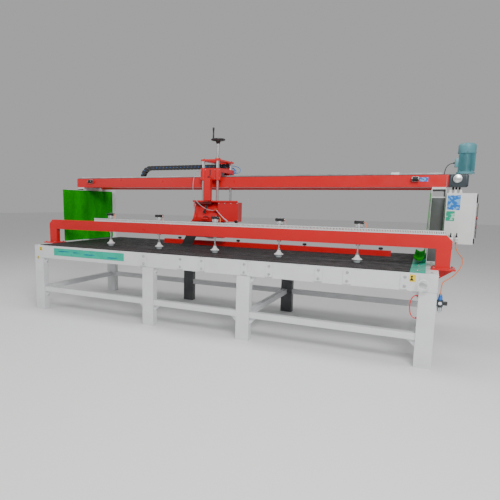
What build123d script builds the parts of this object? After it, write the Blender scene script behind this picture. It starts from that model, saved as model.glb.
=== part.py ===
"""Bridge saw for stone and tile slabs: table, clamp portal, gantry with a travelling saw head, drive and cabinet.

Millimetres. +X runs along the table to the drive end, +Y to the back, +Z up.
The origin is on the floor, under the middle of the machine's outer box.
"""

import math
import os

from build123d import *

os.makedirs("parts", exist_ok=True)

# Overall sizes
table_length = 4550
table_depth = 1620
table_height = 815
left_reach = 135  # clamp portal foot past the table's left end
right_reach = 311  # cabinet switch past the table's right end
front_reach = 60  # lifting ring in front of the front rail
back_reach = 20  # gantry column behind the table's back edge

# Frame steel
leg_width = 140
leg_depth = 80
rail_height = 150
rail_depth = 80
end_rail_width = 80
stretcher_size = 60
stretcher_bottom = 235
tube_wall = 5
deck_thickness = 6
mat_thickness = 8
gusset_size = 70
gusset_thickness = 8

# Clamp portal
portal_beam_width = 60
portal_beam_height = 120
portal_beam_bottom = 1000
portal_front = 350
portal_overhang = 95
post_width = 120
foot_plate_width = 195
foot_plate_depth = 200
foot_plate_thickness = 12
clamp_places = (889, 1597, 2326, 3062, 3847)  # from the table's left end
clamp_back_offset = 40  # clamp axis behind the portal beam's front face
clamp_rod_radius = 8
clamp_bore_radius = 15
clamp_barrel_radius = 18
clamp_barrel_height = 78
clamp_stroke = 50
clamp_foot_radius = 50
clamp_foot_height = 84
duct_width = 20
duct_height = 40
duct_wall = 2

# Fence bar
fence_size = 60
fence_left = 1200
fence_length = 2897
fence_front = 1150
fence_lever_pitch = 853.5
fence_lever_first = 228

# Gantry
column_width = 130
column_depth = 720
column_top = 1548
column_post = 90
column_head_height = 84
beam_depth = 320
beam_height = 120
beam_wall = 6
beam_foot_height = 15
beam_left_overhang = 110
beam_right_overhang = 25
guide_rail_width = 23
guide_rail_height = 22
curtain_thickness = 6
curtain_depth = 1045

# Carriage and saw head
carriage_place = 2025  # carriage middle from the table's left end, at rest
rod_radius = 17.5
rod_pitch_x = 190
rod_pitch_y = 400
sleeve_radius = 30
running_clearance = 0.05
body_clearance = 0.5
top_plate_thickness = 20
top_plate_height = 1893
screw_radius = 15
wheel_height = 2150
wheel_radius = 90
crank_top = 2290
head_plate_top = 1402
head_plate_thickness = 20
blade_radius = 175
blade_thickness = 4
arbor_radius = 15
post_size = 80

# Drive
sprocket_radius = 40
sprocket_width = 14
gearbox_offset = 63  # output shaft to motor shaft
motor_radius = 80
output_shaft_radius = 12

# Cabinet
cabinet_width = 234
cabinet_depth = 250
cabinet_height = 487
cabinet_bottom = 1015
door_thickness = 20

# Energy chain
chain_height = 50
chain_width = 60
chain_bend_radius = 135
chain_bend_place = 856  # middle of the chain's bend from the table's left end
chain_fixed_place = 2275
chain_wall = 4

# Places that follow from the sizes above
left = (left_reach - right_reach - table_length) / 2
right = left + table_length
front = (front_reach - back_reach - table_depth) / 2
back = front + table_depth
deck_top = table_height
deck_bottom = table_height - deck_thickness
rail_bottom = deck_bottom - rail_height
mat_top = deck_top + mat_thickness
stretcher_top = stretcher_bottom + stretcher_size
front_leg_lefts = (left, left + 1625, left + 2755, right - leg_width)
back_leg_lefts = (left, left + 1365, left + 2800, right - leg_width)
back_leg_back = back - 125
back_leg_front = back_leg_back - leg_depth
mat_left = left + 95
mat_right = right - 222
slide_right = right - 100.5


def block(x, y, z, mode=Mode.ADD):
    """Box between two values on each axis."""
    with Locations((x[0], y[0], z[0])):
        Box(x[1] - x[0], y[1] - y[0], z[1] - z[0], align=(Align.MIN, Align.MIN, Align.MIN), mode=mode)


def bar(along, place, radius, start, stop, mode=Mode.ADD):
    """Round bar along an axis, between two values on it. place gives the other two coordinates."""
    middle = (start + stop) / 2
    a, b = place
    centre = {"x": (middle, a, b), "y": (a, middle, b), "z": (a, b, middle)}[along]
    turn = {"x": (0, 90, 0), "y": (90, 0, 0), "z": (0, 0, 0)}[along]
    with Locations(centre):
        Cylinder(radius, stop - start, rotation=turn, mode=mode)


def tube(x, y, z, along, wall):
    """Rectangular tube, open at both ends of its long axis."""
    block(x, y, z)
    inner = {"x": (x[0] + wall, x[1] - wall), "y": (y[0] + wall, y[1] - wall), "z": (z[0] + wall, z[1] - wall)}
    inner[along] = {"x": x, "y": y, "z": z}[along]
    block(inner["x"], inner["y"], inner["z"], mode=Mode.SUBTRACT)


def prism(plane, points, amount, mode=Mode.ADD):
    """Straight-sided plate: an outline on a plane, pushed along the plane's normal."""
    with BuildSketch(plane) as outline:
        with BuildLine():
            Polyline(*points, close=True)
        make_face()
    extrude(outline.sketch, amount=amount, mode=mode)


def save(part, name):
    """Label a finished piece and write it."""
    part.label = name
    export_step(part, f"parts/{name}.step")


# ---------------------------------------------------------------- table frame

gusset_y = front + (leg_depth - gusset_thickness) / 2
with BuildPart() as table_legs:
    for leg_left in front_leg_lefts:
        tube((leg_left, leg_left + leg_width), (front, front + leg_depth), (0, rail_bottom), "z", tube_wall)
    for leg_left in back_leg_lefts:
        tube((leg_left, leg_left + leg_width), (back_leg_front, back_leg_back), (0, rail_bottom), "z", tube_wall)
    corners = [(leg_left, -1) for leg_left in front_leg_lefts[1:]]
    corners += [(leg_left + leg_width, 1) for leg_left in front_leg_lefts[:-1]]
    for corner, way in corners:
        for level, rise in ((rail_bottom, -1), (stretcher_bottom, -1)):
            outline = [(corner, level), (corner + way * gusset_size, level), (corner, level + rise * gusset_size)]
            prism(Plane.XZ.offset(-gusset_y), outline, -gusset_thickness)
save(table_legs.part, "table_legs")

pad_lefts = (1611, 2075, 2328, 2799, 3056, 3531, 3787, 4261)
pad_width = 72
pad_height = 130
pad_thickness = 10
ring_radius = 40
ring_bar_radius = 7
ring_place = 4440
ring_height = 725
with BuildPart() as long_rails:
    tube((left, right), (front, front + rail_depth), (rail_bottom, deck_bottom), "x", tube_wall)
    inner_left = left + end_rail_width
    inner_right = right - end_rail_width
    tube((inner_left, inner_right), (back_leg_front, back_leg_back), (rail_bottom, deck_bottom), "x", tube_wall)
    pad_z = (deck_bottom - pad_height - 8, deck_bottom - 8)
    for pad_left in pad_lefts:
        block((left + pad_left, left + pad_left + pad_width), (front - pad_thickness, front), pad_z)
        for height in (pad_z[0] + 25, pad_z[1] - 25):
            bar("y", (left + pad_left + pad_width / 2, height), 9, front - pad_thickness - 6, front - pad_thickness)
    ring_x = left + ring_place
    ring_y = front - front_reach + ring_bar_radius
    block((ring_x - 30, ring_x + 30), (front - 12, front), (ring_height, ring_height + 70))
    bar("y", (ring_x, ring_height + 35), 14, ring_y + 6, front - 12)
    with Locations((ring_x, ring_y, ring_height)):
        Torus(ring_radius, ring_bar_radius, rotation=(90, 0, 0))
    bar("y", (ring_x, ring_height + 35), 14, ring_y, ring_y + 6)
save(long_rails.part, "long_rails")

deck_beam_count = 5
deck_beam_width = 60
deck_beam_height = 100
with BuildPart() as cross_rails:
    for rail_left in (left, right - end_rail_width):
        rail_x = (rail_left, rail_left + end_rail_width)
        tube(rail_x, (front + rail_depth, back), (rail_bottom, deck_bottom), "y", tube_wall)
    deck_beam_pitch = table_length / (deck_beam_count + 1)
    for index in range(deck_beam_count):
        middle = left + (index + 1) * deck_beam_pitch
        beam_x = (middle - deck_beam_width / 2, middle + deck_beam_width / 2)
        beam_y = (front + rail_depth, back_leg_front)
        tube(beam_x, beam_y, (deck_bottom - deck_beam_height, deck_bottom), "y", tube_wall)
save(cross_rails.part, "cross_rails")

with BuildPart() as stretchers:
    stretcher_y = (front + (leg_depth - stretcher_size) / 2, front + (leg_depth + stretcher_size) / 2)
    for start, stop in zip(front_leg_lefts[:-1], front_leg_lefts[1:]):
        tube((start + leg_width, stop), stretcher_y, (stretcher_bottom, stretcher_top), "x", tube_wall)
    back_y = (back_leg_front + (leg_depth - stretcher_size) / 2, back_leg_back - (leg_depth - stretcher_size) / 2)
    for start, stop in zip(back_leg_lefts[:-1], back_leg_lefts[1:]):
        tube((start + leg_width, stop), back_y, (stretcher_bottom, stretcher_top), "x", tube_wall)
    for index in (0, 2, 3):
        middle = (front_leg_lefts[index] + back_leg_lefts[index] + leg_width) / 2
        brace_x = (middle - stretcher_size / 2, middle + stretcher_size / 2)
        tube(brace_x, (front + leg_depth, back_leg_front), (stretcher_bottom, stretcher_top), "y", tube_wall)
save(stretchers.part, "stretchers")

with BuildPart() as table_deck:
    block((left, right), (front, back), (deck_bottom, deck_top))
save(table_deck.part, "table_deck")

with BuildPart() as rubber_mat:
    block((mat_left, mat_right), (front + 6, back - 6), (deck_top, mat_top))
save(rubber_mat.part, "rubber_mat")

slide_sheet_thickness = 4
slide_sheet_rise = 30
with BuildPart() as end_slide:
    low = deck_top
    high = deck_top + slide_sheet_rise
    sheet_left = mat_right + body_clearance
    with BuildSketch(Plane.XZ.offset(-(front + 6))):
        with BuildLine():
            Line((sheet_left, low), (sheet_left, low + slide_sheet_thickness))
            bottom_arc = ThreePointArc(
                (sheet_left, low + slide_sheet_thickness),
                ((sheet_left + slide_right) / 2, low + slide_sheet_thickness + slide_sheet_rise * 0.15),
                (slide_right, high),
            )
            Line((slide_right, high), (slide_right, low))
            Line((slide_right, low), (sheet_left, low))
        make_face()
    extrude(amount=-(table_depth - 12))
save(end_slide.part, "end_slide")

# ---------------------------------------------------------------- clamp portal

portal_back = front + portal_front + portal_beam_width
portal_y = (front + portal_front, portal_back)
portal_left = left - portal_overhang
portal_right = right + portal_overhang
portal_top = portal_beam_bottom + portal_beam_height
clamp_y = front + portal_front + clamp_back_offset
clamp_xs = [left + place for place in clamp_places]
foot_plate_top = deck_top + foot_plate_thickness
foot_plate_y = (front + portal_front - 70, front + portal_front - 70 + foot_plate_depth)
rod_hole_clearance = 4
chamfer_size = 50

with BuildPart() as clamp_beam:
    block((portal_left, portal_right), portal_y, (portal_beam_bottom, portal_top))
    long_edges = clamp_beam.edges().filter_by(Axis.Y)
    top_corners = long_edges.group_by(Axis.Z)[-1]
    chamfer(top_corners, chamfer_size)
    inner_x = (portal_left + chamfer_size, portal_right - chamfer_size)
    inner_y = (portal_y[0] + tube_wall, portal_y[1] - tube_wall)
    block(inner_x, inner_y, (portal_beam_bottom + tube_wall, portal_top - tube_wall), mode=Mode.SUBTRACT)
    for x in clamp_xs:
        hole_radius = clamp_rod_radius + rod_hole_clearance
        bar("z", (x, clamp_y), hole_radius, portal_beam_bottom - 1, portal_top + 1, mode=Mode.SUBTRACT)
save(clamp_beam.part, "clamp_beam")

bracket_drop = 95
bracket_reach = left_reach
bolt_radius = 9
bolt_head_height = 8
with BuildPart() as portal_posts:
    for post_left in (portal_left + 3, portal_right - 3 - post_width):
        tube((post_left, post_left + post_width), portal_y, (foot_plate_top, portal_beam_bottom), "z", tube_wall)
    for way, end in ((-1, left), (1, right)):
        outer = end + way * bracket_reach
        inner = outer - way * foot_plate_width
        plate_x = (min(outer, inner), max(outer, inner))
        block(plate_x, foot_plate_y, (deck_top, foot_plate_top))
        side_x = (min(end, end + way * 10), max(end, end + way * 10))
        block(side_x, foot_plate_y, (deck_top - bracket_drop, deck_top))
        rib_y = (foot_plate_y[0] + foot_plate_y[1] - 10) / 2
        outline = [(end, deck_top), (outer, deck_top), (end, deck_top - bracket_drop)]
        prism(Plane.XZ.offset(-rib_y), outline, -10)
    for way, end in ((-1, left), (1, right)):
        outer = end + way * bracket_reach
        for y in (foot_plate_y[0] + 25, foot_plate_y[1] - 25):
            bar("z", (outer - way * 22, y), bolt_radius, foot_plate_top, foot_plate_top + bolt_head_height)
            bar("z", (outer - way * 172, y), bolt_radius, foot_plate_top, foot_plate_top + bolt_head_height)
            start = end + way * 10
            stop = start + way * bolt_head_height
            bar("x", (y, deck_top - 60), bolt_radius, min(start, stop), max(start, stop))
save(portal_posts.part, "portal_posts")

duct_left = 760
duct_end_gap = 60
with BuildPart() as cable_duct:
    duct_x = (left + duct_left - 100, portal_right - duct_end_gap)
    duct_y = (portal_y[0], portal_y[0] + duct_width)
    duct_z = (portal_top, portal_top + duct_height)
    tube(duct_x, duct_y, duct_z, "x", duct_wall)
save(cable_duct.part, "cable_duct")

barrel_bottom = portal_top
barrel_top = barrel_bottom + clamp_barrel_height
barrel_end = 8
clamp_cap_height = 34
clamp_cap_radius = 24
with BuildPart() as clamp_cylinders:
    for x in clamp_xs:
        bar("z", (x, clamp_y), clamp_barrel_radius, barrel_bottom, barrel_top)
        bar("z", (x, clamp_y), clamp_bore_radius, barrel_bottom + barrel_end, barrel_top, mode=Mode.SUBTRACT)
        rod_bore = clamp_rod_radius + running_clearance
        bar("z", (x, clamp_y), rod_bore, barrel_bottom - 1, barrel_top, mode=Mode.SUBTRACT)
    for x in clamp_xs:
        bar("z", (x, clamp_y), clamp_cap_radius, barrel_top, barrel_top + clamp_cap_height)
    fillet(clamp_cylinders.edges().filter_by(GeomType.CIRCLE).group_by(Axis.Z)[-1], 6)
save(clamp_cylinders.part, "clamp_cylinders")

foot_bottom = mat_top + body_clearance
foot_top = foot_bottom + clamp_foot_height
piston_bottom = barrel_bottom + barrel_end + 2
piston_height = 12
piston_radius = clamp_bore_radius - running_clearance
with BuildPart() as clamp_rods:
    for x in clamp_xs:
        bar("z", (x, clamp_y), clamp_rod_radius, foot_top, piston_bottom)
        bar("z", (x, clamp_y), piston_radius, piston_bottom, piston_bottom + piston_height)
save(clamp_rods.part, "clamp_rods")

foot_rim = foot_bottom + 26
with BuildPart() as clamp_feet:
    for x in clamp_xs:
        with BuildSketch(Plane.XZ.offset(-clamp_y)):
            with BuildLine():
                Polyline(
                    (x, foot_bottom),
                    (x + 0.55 * clamp_foot_radius, foot_bottom),
                    (x + 0.85 * clamp_foot_radius, foot_rim - 3),
                    (x + clamp_foot_radius, foot_rim),
                    (x + 0.5 * clamp_foot_radius, foot_rim + 18),
                    (x + 0.3 * clamp_foot_radius, foot_top - 12),
                    (x + 0.25 * clamp_foot_radius, foot_top),
                    (x, foot_top),
                    close=True,
                )
            make_face()
        revolve(axis=Axis((x, clamp_y, 0), (0, 0, 1)))
save(clamp_feet.part, "clamp_feet")

# ---------------------------------------------------------------- fence bar

fence_x = (left + fence_left, left + fence_left + fence_length)
fence_y = (front + fence_front, front + fence_front + fence_size)
fence_top = mat_top + fence_size
fence_lever_xs = [fence_x[0] + fence_lever_first + index * fence_lever_pitch for index in range(4)]
fence_middle = (fence_y[0] + fence_y[1]) / 2
stud_radius = 6
stud_height = 22
with BuildPart() as fence_bar:
    tube(fence_x, fence_y, (mat_top, fence_top), "x", 4)
    for x in fence_lever_xs:
        bar("z", (x, fence_middle), stud_radius, fence_top, fence_top + stud_height)
save(fence_bar.part, "fence_bar")

knob_bottom = fence_top + 8
knob_height = 24
knob_radius = 24
for number, x in enumerate(fence_lever_xs, start=1):
    with BuildPart() as fence_knob:
        bar("z", (x, fence_middle), knob_radius, knob_bottom, knob_bottom + knob_height)
        fillet(fence_knob.edges().filter_by(GeomType.CIRCLE), 5)
        stud_bore = stud_radius + running_clearance
        bar("z", (x, fence_middle), stud_bore, knob_bottom - 1, fence_top + stud_height + 0.5, mode=Mode.SUBTRACT)
    save(fence_knob.part, f"fence_knob_{number}")

# ---------------------------------------------------------------- gantry

column_y = (front + 920, front + 920 + column_depth)
left_column_x = (left - column_width, left)
right_column_x = (right - 100, right - 100 + column_width)
head_bottom = column_top - column_head_height
beam_bottom = column_top + beam_foot_height
beam_top = beam_bottom + beam_height
beam_y = (column_y[0], column_y[0] + beam_depth)
beam_middle = (beam_y[0] + beam_y[1]) / 2
beam_x = (left - beam_left_overhang, right + beam_right_overhang)


curtain_y = (column_y[1] - curtain_depth, column_y[1])
curtain_top = column_top - 28
curtain_bar_thickness = 3
left_bar_x = (left, left + curtain_bar_thickness)
right_bar_x = (right_column_x[0] - curtain_bar_thickness, right_column_x[0])
with BuildPart() as columns:
    for column_x, foot in ((left_column_x, rail_bottom), (right_column_x, deck_top)):
        tube(column_x, (column_y[0], column_y[0] + column_post), (foot, head_bottom), "z", tube_wall)
        tube(column_x, (column_y[1] - column_post, column_y[1]), (foot, head_bottom), "z", tube_wall)
        tube(column_x, column_y, (head_bottom, column_top), "y", tube_wall)
        panel_middle = (column_x[0] + column_x[1]) / 2
        panel_y = (column_y[0] + column_post, column_y[1] - column_post)
        block((panel_middle - 3, panel_middle + 3), panel_y, (foot, head_bottom))
    for bar_x in (left_bar_x, right_bar_x):
        block(bar_x, curtain_y, (curtain_top - 30, curtain_top + 5))
    foot_y = (beam_y[0], beam_y[1] + 60)
    for column_x in (left_column_x, right_column_x):
        block((max(column_x[0], beam_x[0]), min(column_x[1], beam_x[1])), foot_y, (column_top, beam_bottom))
        for y in (beam_y[1] + 20, beam_y[1] + 44):
            bar("z", ((column_x[0] + column_x[1]) / 2, y), 9, beam_bottom, beam_bottom + 10)
save(columns.part, "columns")

chain_slot_width = 26
idler_x = left - 40
output_x = right + 118
shaft_height = beam_top - 38
buffer_radius = 20
gearbox_x = (output_x - 78, output_x + 97)
gearbox_y = (front + 940, front + 1060)
gearbox_z = (shaft_height - 82, shaft_height + 45)
with BuildPart() as bridge_beam:
    tube(beam_x, beam_y, (beam_bottom, beam_top), "x", beam_wall)
    slot_y = (beam_middle - chain_slot_width / 2, beam_middle + chain_slot_width / 2)
    slot_x = (idler_x - sprocket_radius - 20, idler_x + sprocket_radius + 50)
    block(slot_x, slot_y, (beam_top - beam_wall - 1, beam_top + 1), mode=Mode.SUBTRACT)
    block((beam_x[0] - 10, beam_x[0]), beam_y, (beam_bottom, beam_top))
    bar("y", (idler_x, shaft_height), output_shaft_radius, beam_y[0], beam_y[1])
    block((beam_x[1], gearbox_x[0]), (beam_y[0] + 5, gearbox_y[1]), (beam_bottom, beam_top))
save(bridge_beam.part, "bridge_beam")

guide_ys = (beam_y[0] + 40, beam_y[1] - 40)
guide_x = (beam_x[0] + 60, beam_x[1] - 40)
with BuildPart() as guide_rails:
    for y in guide_ys:
        rail_y = (y - guide_rail_width / 2, y + guide_rail_width / 2)
        block(guide_x, rail_y, (beam_top, beam_top + guide_rail_height))
    for buffer_x in (left + 142, right - 257):
        buffer_span = (buffer_x - 32, buffer_x + 32)
        block(buffer_span, (beam_y[0] - 12, beam_y[0]), (beam_top - 65, beam_top - 15))
        bar("x", (beam_y[0] - 32, beam_top - 40), buffer_radius, *buffer_span)
save(guide_rails.part, "guide_rails")

tray_front = front + 1312
tray_height = 60
tray_width = chain_width + 2 * chain_wall + 14
tray_y = (tray_front, tray_front + tray_width)
tray_top = column_top + tray_height
with BuildPart() as chain_tray:
    block(beam_x, tray_y, (column_top, tray_top))
    hollow_y = (tray_y[0] + chain_wall, tray_y[1] - chain_wall)
    block(beam_x, hollow_y, (column_top + chain_wall, tray_top), mode=Mode.SUBTRACT)
save(chain_tray.part, "chain_tray")

curtain_gap = curtain_bar_thickness + body_clearance
with BuildPart() as side_curtains:
    left_curtain_x = (left + curtain_gap, left + curtain_gap + curtain_thickness)
    block(left_curtain_x, curtain_y, (deck_top + body_clearance, curtain_top))
    right_curtain_x = (right_column_x[0] - curtain_gap - curtain_thickness, right_column_x[0] - curtain_gap)
    block(right_curtain_x, curtain_y, (deck_top + slide_sheet_rise + body_clearance, curtain_top))
save(side_curtains.part, "side_curtains")

# ---------------------------------------------------------------- drive

chain_link_height = 12
chain_link_width = 9
with BuildPart() as drive_chain:
    chain_plane = Plane.XZ.offset(-(beam_middle - chain_link_width / 2))
    middle = (idler_x + output_x) / 2
    span = output_x - idler_x
    outer = sprocket_radius + 8 + chain_link_height / 2
    inner = outer - chain_link_height
    with BuildSketch(chain_plane):
        with Locations((middle, shaft_height)):
            SlotCenterToCenter(span, 2 * outer)
            SlotCenterToCenter(span, 2 * inner, mode=Mode.SUBTRACT)
    extrude(amount=-chain_link_width)
save(drive_chain.part, "drive_chain")

motor_x = output_x + gearbox_offset
motor_y = (gearbox_y[0] + gearbox_y[1]) / 2
bore_gap = output_shaft_radius + running_clearance
with BuildPart() as gearbox:
    block(gearbox_x, gearbox_y, gearbox_z)
    fillet(gearbox.edges().filter_by(Axis.Y), 12)
    bar("y", (output_x, shaft_height), bore_gap, gearbox_y[1] - 40, gearbox_y[1] + 1, mode=Mode.SUBTRACT)
    bar("y", (output_x, shaft_height), 44, gearbox_y[0] - 8, gearbox_y[0])
save(gearbox.part, "gearbox")

with BuildPart() as drive_sprocket:
    bar("y", (output_x, shaft_height), sprocket_radius, beam_middle - 7, beam_middle + 7)
    bar("y", (output_x, shaft_height), output_shaft_radius, gearbox_y[1] - 38, beam_middle + 12)
save(drive_sprocket.part, "drive_sprocket")

with BuildPart() as idler_sprocket:
    bar("y", (idler_x, shaft_height), sprocket_radius, beam_middle - 7, beam_middle + 7)
    bar("y", (idler_x, shaft_height), bore_gap, beam_middle - 8, beam_middle + 8, mode=Mode.SUBTRACT)
save(idler_sprocket.part, "idler_sprocket")

motor_bottom = gearbox_z[1]
motor_flange = 22
motor_top = motor_bottom + 295
fin_count = 24
with BuildPart() as drive_motor:
    bar("z", (motor_x, motor_y), motor_radius, motor_bottom, motor_bottom + motor_flange)
    bar("z", (motor_x, motor_y), motor_radius - 12, motor_bottom + motor_flange, motor_top - 90)
    bar("z", (motor_x, motor_y), motor_radius - 2, motor_top - 90, motor_top)
    fillet(drive_motor.edges().filter_by(GeomType.CIRCLE).group_by(Axis.Z)[-1], 12)
    terminal_y = (motor_y - 35, motor_y + 35)
    terminal_x = (motor_x - motor_radius - 18, motor_x - motor_radius + 20)
    block(terminal_x, terminal_y, (motor_bottom + 70, motor_bottom + 150))
save(drive_motor.part, "drive_motor")

# ---------------------------------------------------------------- cabinet

cabinet_x = (right + 33, right + 33 + cabinet_width)
cabinet_y = (front + 830, front + 830 + cabinet_depth)
cabinet_top = cabinet_bottom + cabinet_height
cabinet_wall = 3
gland_xs = (cabinet_x[0] + 30, cabinet_x[0] + 75, cabinet_x[0] + 120)
valve_xs = (cabinet_x[0] + 62, cabinet_x[0] + 112)
valve_z = (cabinet_bottom + 20, cabinet_bottom + 90)
with BuildPart() as cabinet:
    block(cabinet_x, cabinet_y, (cabinet_bottom, cabinet_top))
    inner_y = (cabinet_y[0] + cabinet_wall, cabinet_y[1] - cabinet_wall)
    inner_z = (cabinet_bottom + cabinet_wall, cabinet_top - cabinet_wall)
    block((cabinet_x[0] + cabinet_wall, cabinet_x[1] + 1), inner_y, inner_z, mode=Mode.SUBTRACT)
    for height in (cabinet_bottom + 60, cabinet_top - 100):
        mount_y = (column_y[0] + 5, column_y[0] + 85)
        block((right_column_x[1], cabinet_x[0]), mount_y, (height, height + 40))
    plate_x = (cabinet_x[0] + cabinet_wall, cabinet_x[0] + cabinet_wall + 4)
    block(plate_x, (inner_y[0] + 15, inner_y[1] - 15), (inner_z[0] + 20, inner_z[1] - 20))
    for row in range(3):
        height = inner_z[0] + 60 + row * 130
        block((plate_x[1], plate_x[1] + 70), (inner_y[0] + 35, inner_y[1] - 35), (height, height + 80))
    for x in gland_xs:
        bar("z", (x, cabinet_y[0] + 60), 14, cabinet_top, cabinet_top + 14)
        bar("z", (x, cabinet_y[0] + 60), 10, cabinet_top + 14, cabinet_top + 34)
    for x in valve_xs:
        block((x - 16, x + 16), (cabinet_y[0] - 28, cabinet_y[0]), valve_z)
save(cabinet.part, "cabinet")

door_x = (cabinet_x[1] + body_clearance, cabinet_x[1] + door_thickness)
strip_y = (cabinet_y[0] + 20, cabinet_y[0] + 70)
strip_x = (door_x[1], door_x[1] + 10)
strip_middle = (strip_y[0] + strip_y[1]) / 2
stop_height = cabinet_bottom + 255
start_height = stop_height + 90
switch_height = stop_height - 90
stem_radius = 8
stem_bore = stem_radius + running_clearance
with BuildPart() as cabinet_door:
    block(door_x, cabinet_y, (cabinet_bottom, cabinet_top))
    fillet(cabinet_door.edges().filter_by(Axis.Z).group_by(Axis.X)[-1], 5)
    for height in (cabinet_bottom + 60, cabinet_top - 110):
        bar("z", (door_x[1], cabinet_y[1]), 6, height, height + 50)
    block(strip_x, strip_y, (cabinet_bottom + 58, cabinet_bottom + 395))
    for height in (stop_height, start_height, switch_height):
        bar("x", (strip_middle, height), stem_bore, strip_x[0] - 1, strip_x[1] + 1, mode=Mode.SUBTRACT)
save(cabinet_door.part, "cabinet_door")

switch_reach = right + right_reach
with BuildPart() as stop_button:
    bar("x", (strip_middle, stop_height), 20, switch_reach - 8, switch_reach)
    bar("x", (strip_middle, stop_height), stem_radius, strip_x[0] + 7, switch_reach - 8)
    fillet(stop_button.edges().filter_by(GeomType.CIRCLE).group_by(Axis.X)[-1], 4)
save(stop_button.part, "stop_button")

with BuildPart() as start_button:
    bar("x", (strip_middle, start_height), stem_radius, strip_x[0] + 5, strip_x[1] + 5)
save(start_button.part, "start_button")

with BuildPart() as main_switch:
    bar("x", (strip_middle, switch_height), stem_radius, strip_x[0] + 2, strip_x[1] + 1)
    bar("x", (strip_middle, switch_height), 18, strip_x[1] + 1, strip_x[1] + 7)
    block((strip_x[1] + 7, switch_reach - 1), (strip_middle - 4, strip_middle + 4), (switch_height - 16, switch_height + 16))
save(main_switch.part, "main_switch")

for number, x in enumerate(valve_xs, start=1):
    with BuildPart() as valve_lever:
        lever_y = (cabinet_y[0] - 28 - 14, cabinet_y[0] - 28 - body_clearance)
        pivot_height = valve_z[1] - 15
        bar("y", (x, pivot_height), 9, lever_y[0], lever_y[1])
        block((x - 5, x + 5), (lever_y[0], lever_y[0] + 8), (pivot_height, pivot_height + 34))
    save(valve_lever.part, f"valve_lever_{number}")

# ---------------------------------------------------------------- air service unit

unit_x = (right + 3, right + 50)
unit_y = (front + 18, front + 62)
unit_z = (545, 600)
unit_middle_y = (unit_y[0] + unit_y[1]) / 2
unit_middle_x = (unit_x[0] + unit_x[1]) / 2
with BuildPart() as air_service_unit:
    block((right, unit_x[0]), (unit_y[0] - 8, unit_y[1] + 8), (unit_z[0] - 15, unit_z[1] + 60))
    block(unit_x, unit_y, unit_z)
    bar("z", ((unit_x[0] + unit_x[1]) / 2, unit_middle_y), 16, unit_z[0] - 55, unit_z[0])
    bar("z", (unit_middle_x, unit_middle_y), 17, unit_z[1], unit_z[1] + 50)
save(air_service_unit.part, "air_service_unit")

with BuildPart() as regulator_knob:
    bar("x", (unit_middle_y, (unit_z[0] + unit_z[1]) / 2), 17, unit_x[1] + body_clearance, unit_x[1] + 32)
    fillet(regulator_knob.edges().filter_by(GeomType.CIRCLE).group_by(Axis.X)[-1], 4)
save(regulator_knob.part, "regulator_knob")

# ---------------------------------------------------------------- carriage

carriage_x = left + carriage_place
rod_xs = (carriage_x - rod_pitch_x / 2, carriage_x + rod_pitch_x / 2)
rod_ys = (beam_middle - 10 - rod_pitch_y / 2, beam_middle - 10 + rod_pitch_y / 2)
screw_y = (rod_ys[0] + rod_ys[1]) / 2
rod_bore = rod_radius + running_clearance
saddle_x = (carriage_x - 130, carriage_x + 130)
saddle_bottom = beam_top + 57
saddle_top = beam_top + 105
front_sleeve_z = (beam_top - 39, saddle_top)
back_sleeve_z = (beam_top + 35, saddle_top)
apron_y = (rod_ys[0] - 12, rod_ys[0] + 30)
back_block_y = (beam_y[1], rod_ys[1] + 20)
lever_pivot = (carriage_x - 16, beam_top - 5)
guide_block_length = 60
chain_low = column_top + chain_wall + chain_height / 2
chain_high = chain_low + 2 * chain_bend_radius
chain_middle_y = (tray_y[0] + tray_y[1]) / 2
chain_y = (chain_middle_y - chain_width / 2, chain_middle_y + chain_width / 2)
chain_end_x = carriage_x + 47
arm_top = chain_high - chain_height / 2
with BuildPart() as saddle:
    block(saddle_x, apron_y, front_sleeve_z)
    block(saddle_x, (apron_y[1], beam_y[1]), (saddle_bottom, saddle_bottom + 12))
    block((carriage_x - 65, carriage_x + 65), (apron_y[1], beam_y[1]), (saddle_bottom, saddle_top))
    block(saddle_x, back_block_y, back_sleeve_z)
    block((saddle_x[1] - 12, saddle_x[1]), (apron_y[1], beam_y[1]), (saddle_bottom, saddle_top))
    for x in rod_xs:
        bar("z", (x, rod_ys[0]), sleeve_radius, *front_sleeve_z)
        bar("z", (x, rod_ys[1]), sleeve_radius, *back_sleeve_z)
    for x in rod_xs:
        for y in rod_ys:
            bar("z", (x, y), rod_bore, front_sleeve_z[0] - 1, saddle_top + 1, mode=Mode.SUBTRACT)
    screw_bore = screw_radius + running_clearance
    bar("z", (carriage_x, screw_y), screw_bore, saddle_bottom - 1, saddle_top + 1, mode=Mode.SUBTRACT)
    bar("y", lever_pivot, 8 + running_clearance, apron_y[0] - 1, apron_y[0] + 30, mode=Mode.SUBTRACT)
    for x in (saddle_x[0] + 35, saddle_x[1] - 35):
        for y in guide_ys:
            block_x = (x - guide_block_length / 2, x + guide_block_length / 2)
            block(block_x, (y - 30, y + 30), (beam_top + 5, saddle_bottom))
            groove = guide_rail_width / 2 + body_clearance
            groove_top = beam_top + guide_rail_height + body_clearance
            block(block_x, (y - groove, y + groove), (beam_top + 4, groove_top), mode=Mode.SUBTRACT)
    clamp_bottom = shaft_height + sprocket_radius + 8 + chain_link_height / 2 + body_clearance
    block((carriage_x - 55, carriage_x - 20), (beam_middle - 6, beam_middle + 6), (clamp_bottom, saddle_bottom))
    arm_x = (chain_end_x - 60, chain_end_x + 10)
    block(arm_x, (back_block_y[1], chain_y[1]), (arm_top - 6, arm_top))
    block(arm_x, (back_block_y[1], back_block_y[1] + 6), (back_sleeve_z[0], arm_top))
save(saddle.part, "saddle")

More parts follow.
